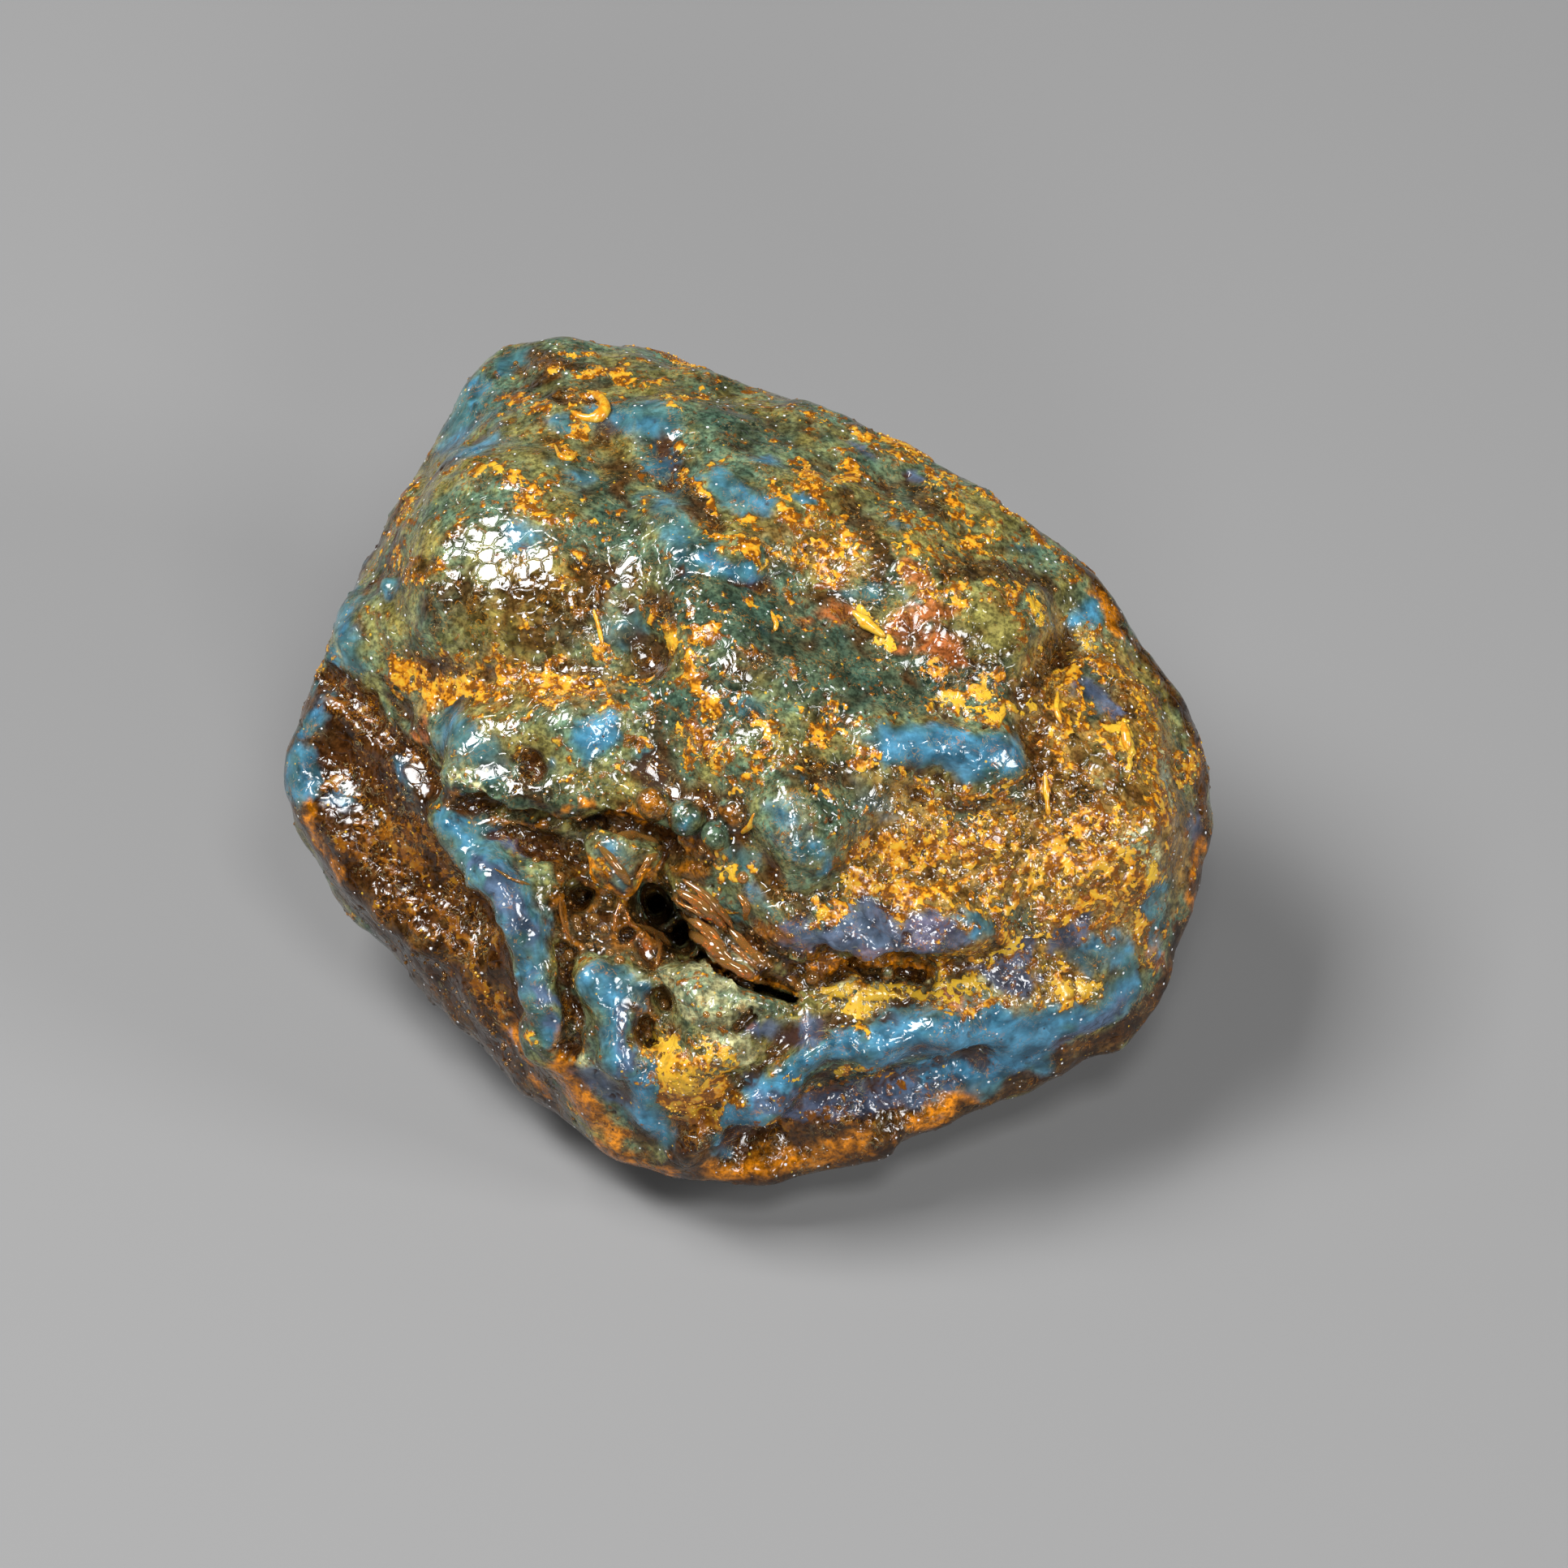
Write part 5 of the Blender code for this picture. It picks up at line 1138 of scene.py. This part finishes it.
def scatter_tree():
    """Geometry tree: small round grains on the skin wherever a painted mask is strong."""
    tree = new_tree("scattered_grains", "GeometryNodeTree",
                    [GEOMETRY_IN, ("Mask", "NodeSocketString", "crust"),
                     ("Edge", "NodeSocketFloat", SCATTER_EDGE), ("Density", "NodeSocketFloat", 1.0),
                     ("Radius", "NodeSocketFloat", MM), ("Seed", "NodeSocketInt", 1),
                     ("Material", "NodeSocketMaterial", None)], [GEOMETRY_OUT])
    wires = Wires(tree)
    given = wires.node("NodeGroupInput").outputs
    broken = wires.add(wires.layer(given["Mask"]),
                       wires.times(wires.ripples(wires.position(), 0.8, 4.0, 0.7), 2.0))
    share = wires.step(broken, given["Edge"], wires.add(given["Edge"], 0.25))
    density = wires.times(wires.times(share, given["Density"]), 1.0 / MM ** 2)
    spots = wires.node("GeometryNodeDistributePointsOnFaces",
                       {"Mesh": given["Geometry"], "Density": density, "Seed": given["Seed"]},
                       distribute_method="RANDOM")
    size = wires.node("FunctionNodeRandomValue", {"Seed": given["Seed"]}, data_type="FLOAT")
    scale = wires.step(wires.times(size.outputs[1], size.outputs[1]), 0.0, 1.0, 0.35, 1.0)
    turn = wires.node("FunctionNodeRandomValue", {"Max": (math.tau, math.tau, math.tau)},
                      data_type="FLOAT_VECTOR")
    grain = wires.node("GeometryNodeMeshIcoSphere", {"Radius": given["Radius"], "Subdivisions": 2})
    placed = wires.node("GeometryNodeInstanceOnPoints",
                        {"Points": spots.outputs["Points"], "Instance": grain.outputs["Mesh"],
                         "Rotation": turn.outputs[0], "Scale": scale})
    real = wires.node("GeometryNodeRealizeInstances", {"Geometry": placed.outputs[0]})
    coated = wires.node("GeometryNodeSetMaterial",
                        {"Geometry": real.outputs[0], "Material": given["Material"]})
    wires.node("NodeGroupOutput", {"Geometry": coated.outputs[0]})
    return tree


def new_piece(name, mesh):
    """Put a mesh in the scene as a piece."""
    mesh.name = name
    piece = bpy.data.objects.new(name, mesh)
    bpy.context.scene.collection.objects.link(piece)
    return piece


def join_mesh(piece, extra):
    """Add another mesh's faces to the piece."""
    shape = bmesh.new()
    shape.from_mesh(piece.data)
    shape.from_mesh(extra)
    shape.to_mesh(piece.data)
    shape.free()


def finish_piece(piece, material):
    """Give the piece its material, shading and place in the frame."""
    piece.data.materials.clear()
    piece.data.materials.append(material)
    piece.data.shade_smooth()
    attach(piece, BODY)
    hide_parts(NODE)


def packed_copy(name):
    """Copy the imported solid's mesh into a new piece, with its loose triangles merged."""
    piece = bpy.data.objects.new(name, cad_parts[NODE].data.copy())
    bpy.context.scene.collection.objects.link(piece)
    shape = bmesh.new()
    shape.from_mesh(piece.data)
    bmesh.ops.remove_doubles(shape, verts=shape.verts[:], dist=MERGED)
    shape.to_mesh(piece.data)
    shape.free()
    return piece


def settle(mesh):
    """Keep the underside from dipping below the floor."""
    places = vertex_array(mesh, "co")
    places[:, 2] = np.maximum(places[:, 2], FLOOR_GAP * MM)
    move_vertices(mesh, places)


class AMBER_OT_body(bpy.types.Operator):
    """Sculpt, paint and finish the lump's body"""
    bl_idname = "amber.body"
    bl_label = "Amber Body"

    def execute(self, context):
        shape = context.scene.amber_shape
        step = shape.skin_step * 1.0
        piece = packed_copy("amber_body")
        voxel_remesh(piece, step * COARSER)
        smooth(piece, ROUNDING)
        sculpt(piece.data, FORMS, shape.wander)
        join_mesh(piece, blister_mesh(KNOBS, surface_tree(piece.data), KNOB_RISE))
        voxel_remesh(piece, step)
        smooth(piece, LAST_ROUNDING)
        sculpt(piece.data, DETAILS, shape.wander * DETAIL_WANDER)
        paint(piece.data, shape.wander)
        run_geometry(piece, skin_tree(), {name: getattr(shape, key) for name, key in SKIN_INPUTS.items()})
        thin_out(piece, shape.body_triangles)
        settle(piece.data)
        paint(piece.data, shape.wander)
        run_geometry(piece, colour_tree(context.scene.amber_colours), {})
        finish_piece(piece, amber_material(context.scene.amber_colours))
        return {"FINISHED"}


class AMBER_OT_drops(bpy.types.Operator):
    """Set clear drops and small wet beads in the hollows"""
    bl_idname = "amber.drops"
    bl_label = "Clear Drops"

    def execute(self, context):
        shape = context.scene.amber_shape
        body = bpy.data.objects["amber_body"]
        resin = clear_material(context.scene.amber_colours)
        piece = new_piece("amber_drops", body.data.copy())
        run_geometry(piece, scatter_tree(), {
            "Mask": "brown", "Edge": SCATTER_EDGE, "Density": shape.bead_density,
            "Radius": shape.bead_radius, "Seed": BEAD_SEED, "Material": resin})
        join_mesh(piece, blister_mesh(DROPS, surface_tree(body.data), DROP_RISE))
        finish_piece(piece, resin)
        return {"FINISHED"}


class AMBER_OT_splinters(bpy.types.Operator):
    """Lay clear ribs over the hollow and yellow flakes on the crust"""
    bl_idname = "amber.splinters"
    bl_label = "Splinters"

    def execute(self, context):
        colours = context.scene.amber_colours
        tree = surface_tree(bpy.data.objects["amber_body"].data)
        finish_piece(new_piece("amber_splinters", blade_mesh(SPLINTERS, tree)), clear_material(colours))
        finish_piece(new_piece("crust_flakes", blade_mesh(FLAKES, tree)), crust_material(colours))
        return {"FINISHED"}


class AMBER_OT_grains(bpy.types.Operator):
    """Scatter bright grains over the crust"""
    bl_idname = "amber.grains"
    bl_label = "Crust Grains"

    def execute(self, context):
        shape = context.scene.amber_shape
        crust = crust_material(context.scene.amber_colours)
        piece = new_piece("crust_grains", bpy.data.objects["amber_body"].data.copy())
        run_geometry(piece, scatter_tree(), {
            "Mask": "crust", "Edge": SCATTER_EDGE, "Density": shape.grain_density,
            "Radius": shape.grain_radius, "Seed": GRAIN_SEED, "Material": crust})
        finish_piece(piece, crust)
        return {"FINISHED"}


# -------------------------------------------------------------------------------------- the materials

def new_material(name):
    """Make a material; return it, its wires and its shader."""
    material = bpy.data.materials.new(name)
    material.use_nodes = True
    return material, Wires(material.node_tree), material.node_tree.nodes["Principled BSDF"]


def vein_group():
    """Node group: thin curling lines, like hairs and cracks, in patches."""
    tree = new_tree("fine_veins", "ShaderNodeTree",
                    [("Coordinates", "NodeSocketVector", None), ("Scale", "NodeSocketFloat", 1.0),
                     ("Width", "NodeSocketFloat", 0.02)],
                    [("Mask", "NodeSocketFloat")])
    wires = Wires(tree)
    given = wires.node("NodeGroupInput").outputs
    away = wires.math("ABSOLUTE", wires.ripples(given["Coordinates"], given["Scale"], 3.0, 0.6, 1.6))
    line = wires.step(away, given["Width"], wires.times(given["Width"], 0.3))
    patches = wires.noise(given["Coordinates"], wires.times(given["Scale"], 0.45), 2.0)
    patchy = wires.step(patches, 0.44, 0.60)
    wires.node("NodeGroupOutput", {"Mask": wires.times(line, patchy)})
    return tree


def cell_group():
    """Node group: melted cells; some hold a pinhole, a grain of dust or a painted highlight speck."""
    tree = new_tree("melted_cells", "ShaderNodeTree",
                    [("Coordinates", "NodeSocketVector", None), ("Scale", "NodeSocketFloat", 2.0),
                     ("Radius", "NodeSocketFloat", 0.2)],
                    [(name, "NodeSocketFloat") for name in ("Pit", "Dust", "Sparkle", "Swell")])
    wires = Wires(tree)
    given = wires.node("NodeGroupInput").outputs
    near = wires.node("ShaderNodeTexVoronoi", {"Vector": given["Coordinates"], "Scale": given["Scale"]})
    away = near.outputs["Distance"]
    pick = wires.node("ShaderNodeSeparateXYZ", {0: near.outputs["Color"]})
    size = wires.times(given["Radius"], wires.add(wires.times(pick.outputs[1], 0.8), 0.4))
    inside = wires.step(away, size, wires.times(size, 0.5))
    masks = {}
    for name, low, high in (("Pit", 0.0, 0.10), ("Dust", 0.10, 0.24), ("Sparkle", 0.24, 0.62)):
        chosen = wires.times(wires.math("GREATER_THAN", pick.outputs[0], low),
                             wires.math("LESS_THAN", pick.outputs[0], high))
        masks[name] = wires.times(inside, chosen)
    swell = wires.add(wires.times(wires.times(away, away), -1.0),
                      wires.times(wires.add(masks["Sparkle"], wires.times(masks["Pit"], -2.0)), 0.5))
    wires.node("NodeGroupOutput", {**masks, "Swell": swell})
    return tree


def amber_material(colours):
    """Weathered amber: the painted skin, with crust, veins and specks, under a wet gloss."""
    material, wires, shader = new_material("weathered_amber_skin")
    coords = wires.surface()
    rust, ochre, yellow, brown, hair, sparkle = [
        rgba(getattr(colours, name)) for name in ("rust", "ochre", "yellow", "brown", "hair", "sparkle")]

    # fine mottling of the painted skin, less of it where the skin is glassy
    glassy = wires.painted("glassy")
    mottle = wires.noise(coords, 3.2, 2.0, 0.70)
    shade = wires.node("ShaderNodeMix", {"Factor": wires.times(glassy, 0.75),
                                         2: wires.step(mottle, 0.34, 0.66, 0.52, 1.55), 3: 1.0},
                       data_type="FLOAT").outputs[0]
    skin = wires.scaled(wires.painted("skin", "Color"), shade)

    # ochre and yellow crust, thinning into lace, with a brown fringe
    edge = crust_edge(wires, coords, wires.painted("crust"))
    skin = wires.over(skin, wires.step(edge, CRUST_EDGE - 0.25, CRUST_EDGE - 0.02), rust, 0.65)
    tone = wires.noise(wires.moved(coords, (4.0, 1.0, 7.0)), 1.7, 2.0, 0.65)
    bright = wires.add(wires.step(tone, 0.40, 0.60, -0.35, 0.7),
                       wires.step(edge, CRUST_EDGE, CRUST_EDGE + 0.5, 0.0, 0.4))
    crust_colour = wires.mix(wires.step(bright, 0.0, 0.7), rust, ochre)
    lemon = wires.most(wires.step(tone, 0.50, 0.62, 0.0, 0.75),
                       wires.step(wires.painted("yellow"), 0.3, 0.9))
    crust_colour = wires.mix(lemon, crust_colour, yellow)
    # painted shade: crust turns to rust on the amber layer of the left face, rims and underside
    crust_colour = wires.mix(wires.times(wires.painted("deep"), 0.80), crust_colour, rust)
    crust = wires.step(edge, CRUST_EDGE - 0.05, CRUST_EDGE + 0.22)
    skin = wires.over(skin, crust, crust_colour)

    # curling veins, and cells that hold pinholes, yellow dust and painted glints: white specks for tiny
    # highlights
    vein = wires.node("ShaderNodeGroup", {"Coordinates": coords, "Scale": 1.3, "Width": 0.022},
                      node_tree=vein_group()).outputs
    skin = wires.over(skin, vein["Mask"], wires.mix(wires.step(tone, 0.45, 0.55), ochre, hair), 0.45)
    cell = wires.node("ShaderNodeGroup", {"Coordinates": coords, "Scale": 2.2, "Radius": 0.20},
                      node_tree=cell_group()).outputs
    for held, tint, strength in (("Pit", brown, 0.85), ("Dust", yellow, 0.8), ("Sparkle", sparkle, 0.9)):
        skin = wires.over(skin, cell[held], tint, strength)
    wires.fill(shader.inputs["Base Color"], wires.scaled(skin, DEPTH))

    rough = wires.add(wires.step(mottle, 0.3, 0.7, 0.05, 0.14),
                      wires.most(wires.times(crust, 0.11), wires.times(wires.painted("deep"), 0.06)))
    wires.fill(shader.inputs["Roughness"], rough)

    # wet relief: flat-topped domes with grooves between them, small cells, crust edges and grain
    drift = wires.drifted(coords, 1.2, 0.7)
    dome = wires.cells(drift, 1.1)
    groove = wires.step(wires.cells(drift, 1.1, "DISTANCE_TO_EDGE"), 0.0, 0.11)
    tops = wires.add(wires.times(wires.times(dome, dome), -0.7), wires.times(groove, 0.35))
    relief = wires.times(wires.add(tops, wires.times(cell["Swell"], 0.30)),
                         wires.step(glassy, 0.0, 1.0, 1.0, 0.6))
    relief = wires.add(relief, wires.times(mottle, wires.step(glassy, 0.0, 1.0, 0.08, 0.03)))
    relief = wires.add(relief, wires.times(wires.step(edge, CRUST_EDGE - 0.06, CRUST_EDGE + 0.10), 0.5))
    bump = wires.node("ShaderNodeBump", {"Strength": 1.0, "Distance": BUMP_HEIGHT, "Height": relief})
    wires.fill(shader.inputs["Normal"], bump.outputs[0])

    shader.inputs["IOR"].default_value = AMBER_IOR
    shader.inputs["Specular IOR Level"].default_value = BODY_SPECULAR
    return material


def clear_material(colours):
    """Clear amber resin: see-through, and darker where it is thick."""
    if "clear_amber" in bpy.data.materials:
        return bpy.data.materials["clear_amber"]
    material, wires, shader = new_material("clear_amber")
    shader.inputs["Base Color"].default_value = rgba(colours.resin)
    shader.inputs["Roughness"].default_value = 0.04
    shader.inputs["IOR"].default_value = AMBER_IOR
    shader.inputs["Transmission Weight"].default_value = 0.85
    absorb = wires.node("ShaderNodeVolumeAbsorption", {"Color": RESIN_ABSORPTION, "Density": RESIN_DENSITY})
    wires.fill(material.node_tree.nodes["Material Output"].inputs["Volume"], absorb.outputs[0])
    return material


def crust_material(colours):
    """Loose crust: ochre and yellow, each grain a little different."""
    if "loose_crust" in bpy.data.materials:
        return bpy.data.materials["loose_crust"]
    material, wires, shader = new_material("loose_crust")
    tone = wires.step(wires.noise(wires.surface(), 1.6, 4.0, 0.8), 0.42, 0.58)
    tint = wires.mix(tone, rgba(colours.ochre), rgba(colours.yellow))
    wires.fill(shader.inputs["Base Color"], wires.scaled(tint, DEPTH))
    shader.inputs["Roughness"].default_value = 0.22
    return material


# ------------------------------------------------------------------------------------------- the stage

def area_light(name, power, size, place, target):
    """Add a square softbox that faces a target."""
    light = bpy.data.lights.new(name, "AREA")
    light.energy = power
    light.size = size
    piece = bpy.data.objects.new(name, light)
    piece.location = place
    piece.rotation_euler = (place - target).to_track_quat("Z", "Y").to_euler()
    bpy.context.scene.collection.objects.link(piece)


class AMBER_OT_stage(bpy.types.Operator):
    """Set the floor, the lights and the camera"""
    bl_idname = "amber.stage"
    bl_label = "Stage"

    def execute(self, context):
        stage = context.scene.amber_stage
        right, top, outward = SIDES["face"]
        middle = FACE_MIDDLE * MM
        shape = bmesh.new()
        bmesh.ops.create_grid(shape, x_segments=2, y_segments=2, size=FLOOR_SIZE)
        floor = new_piece("floor", finished_mesh(shape, "floor"))
        plain, _, shader = new_material("plain_floor")
        shader.inputs["Base Color"].default_value = rgba(stage.floor)
        shader.inputs["Roughness"].default_value = FLOOR_ROUGHNESS
        floor.data.materials.append(plain)

        world = bpy.data.worlds.new("studio")
        world.use_nodes = True
        background = world.node_tree.nodes["Background"]
        background.inputs["Color"].default_value = SKY_TINT
        background.inputs["Strength"].default_value = stage.sky
        context.scene.world = world
        for box in SOFTBOXES:
            place = middle + right * box.across + top * box.up + outward * box.out
            area_light(box.name, getattr(stage, box.name + "_power"), box.size, place, middle)
        context.scene.view_settings.view_transform = "Standard"

        lens = bpy.data.cameras.new("camera")
        lens.lens = EYE[2] / FRAME_WIDTH * SENSOR_WIDTH
        lens.sensor_width = SENSOR_WIDTH
        camera = bpy.data.objects.new("camera", lens)
        camera.location = side_point("face", *EYE)
        camera.rotation_euler = outward.to_track_quat("Z", "Y").to_euler()
        context.scene.collection.objects.link(camera)
        context.scene.camera = camera
        return {"FINISHED"}


class AMBER_PT_panel(bpy.types.Panel):
    """Lists the lump's pieces and sizes"""
    bl_label = "Raw Amber"
    bl_idname = "AMBER_PT_panel"
    bl_space_type = "VIEW_3D"
    bl_region_type = "UI"
    bl_category = "Amber"

    def draw(self, context):
        for operator in OPERATORS:
            self.layout.operator(operator.bl_idname)
        for name in SETTINGS:
            settings = getattr(context.scene, name)
            box = self.layout.box()
            for key in settings.__annotations__:
                box.prop(settings, key)


SETTINGS = {"amber_shape": AmberShape, "amber_colours": AmberColours, "amber_stage": AmberStage}
OPERATORS = (AMBER_OT_body, AMBER_OT_drops, AMBER_OT_splinters, AMBER_OT_grains, AMBER_OT_stage)


def register():
    """Register the settings, operators and panel."""
    for name, settings in SETTINGS.items():
        bpy.utils.register_class(settings)
        setattr(bpy.types.Scene, name, PointerProperty(type=settings))
    for operator in OPERATORS:
        bpy.utils.register_class(operator)
    bpy.utils.register_class(AMBER_PT_panel)


def unregister():
    """Take the settings, operators and panel away again."""
    bpy.utils.unregister_class(AMBER_PT_panel)
    for operator in reversed(OPERATORS):
        bpy.utils.unregister_class(operator)
    for name, settings in SETTINGS.items():
        delattr(bpy.types.Scene, name)
        bpy.utils.unregister_class(settings)


def main():
    """Register the add-on, and build the lump and its stage."""
    register()
    bpy.ops.amber.body()
    bpy.ops.amber.drops()
    bpy.ops.amber.splinters()
    bpy.ops.amber.grains()
    bpy.ops.amber.stage()


if __name__ == "__main__":
    main()
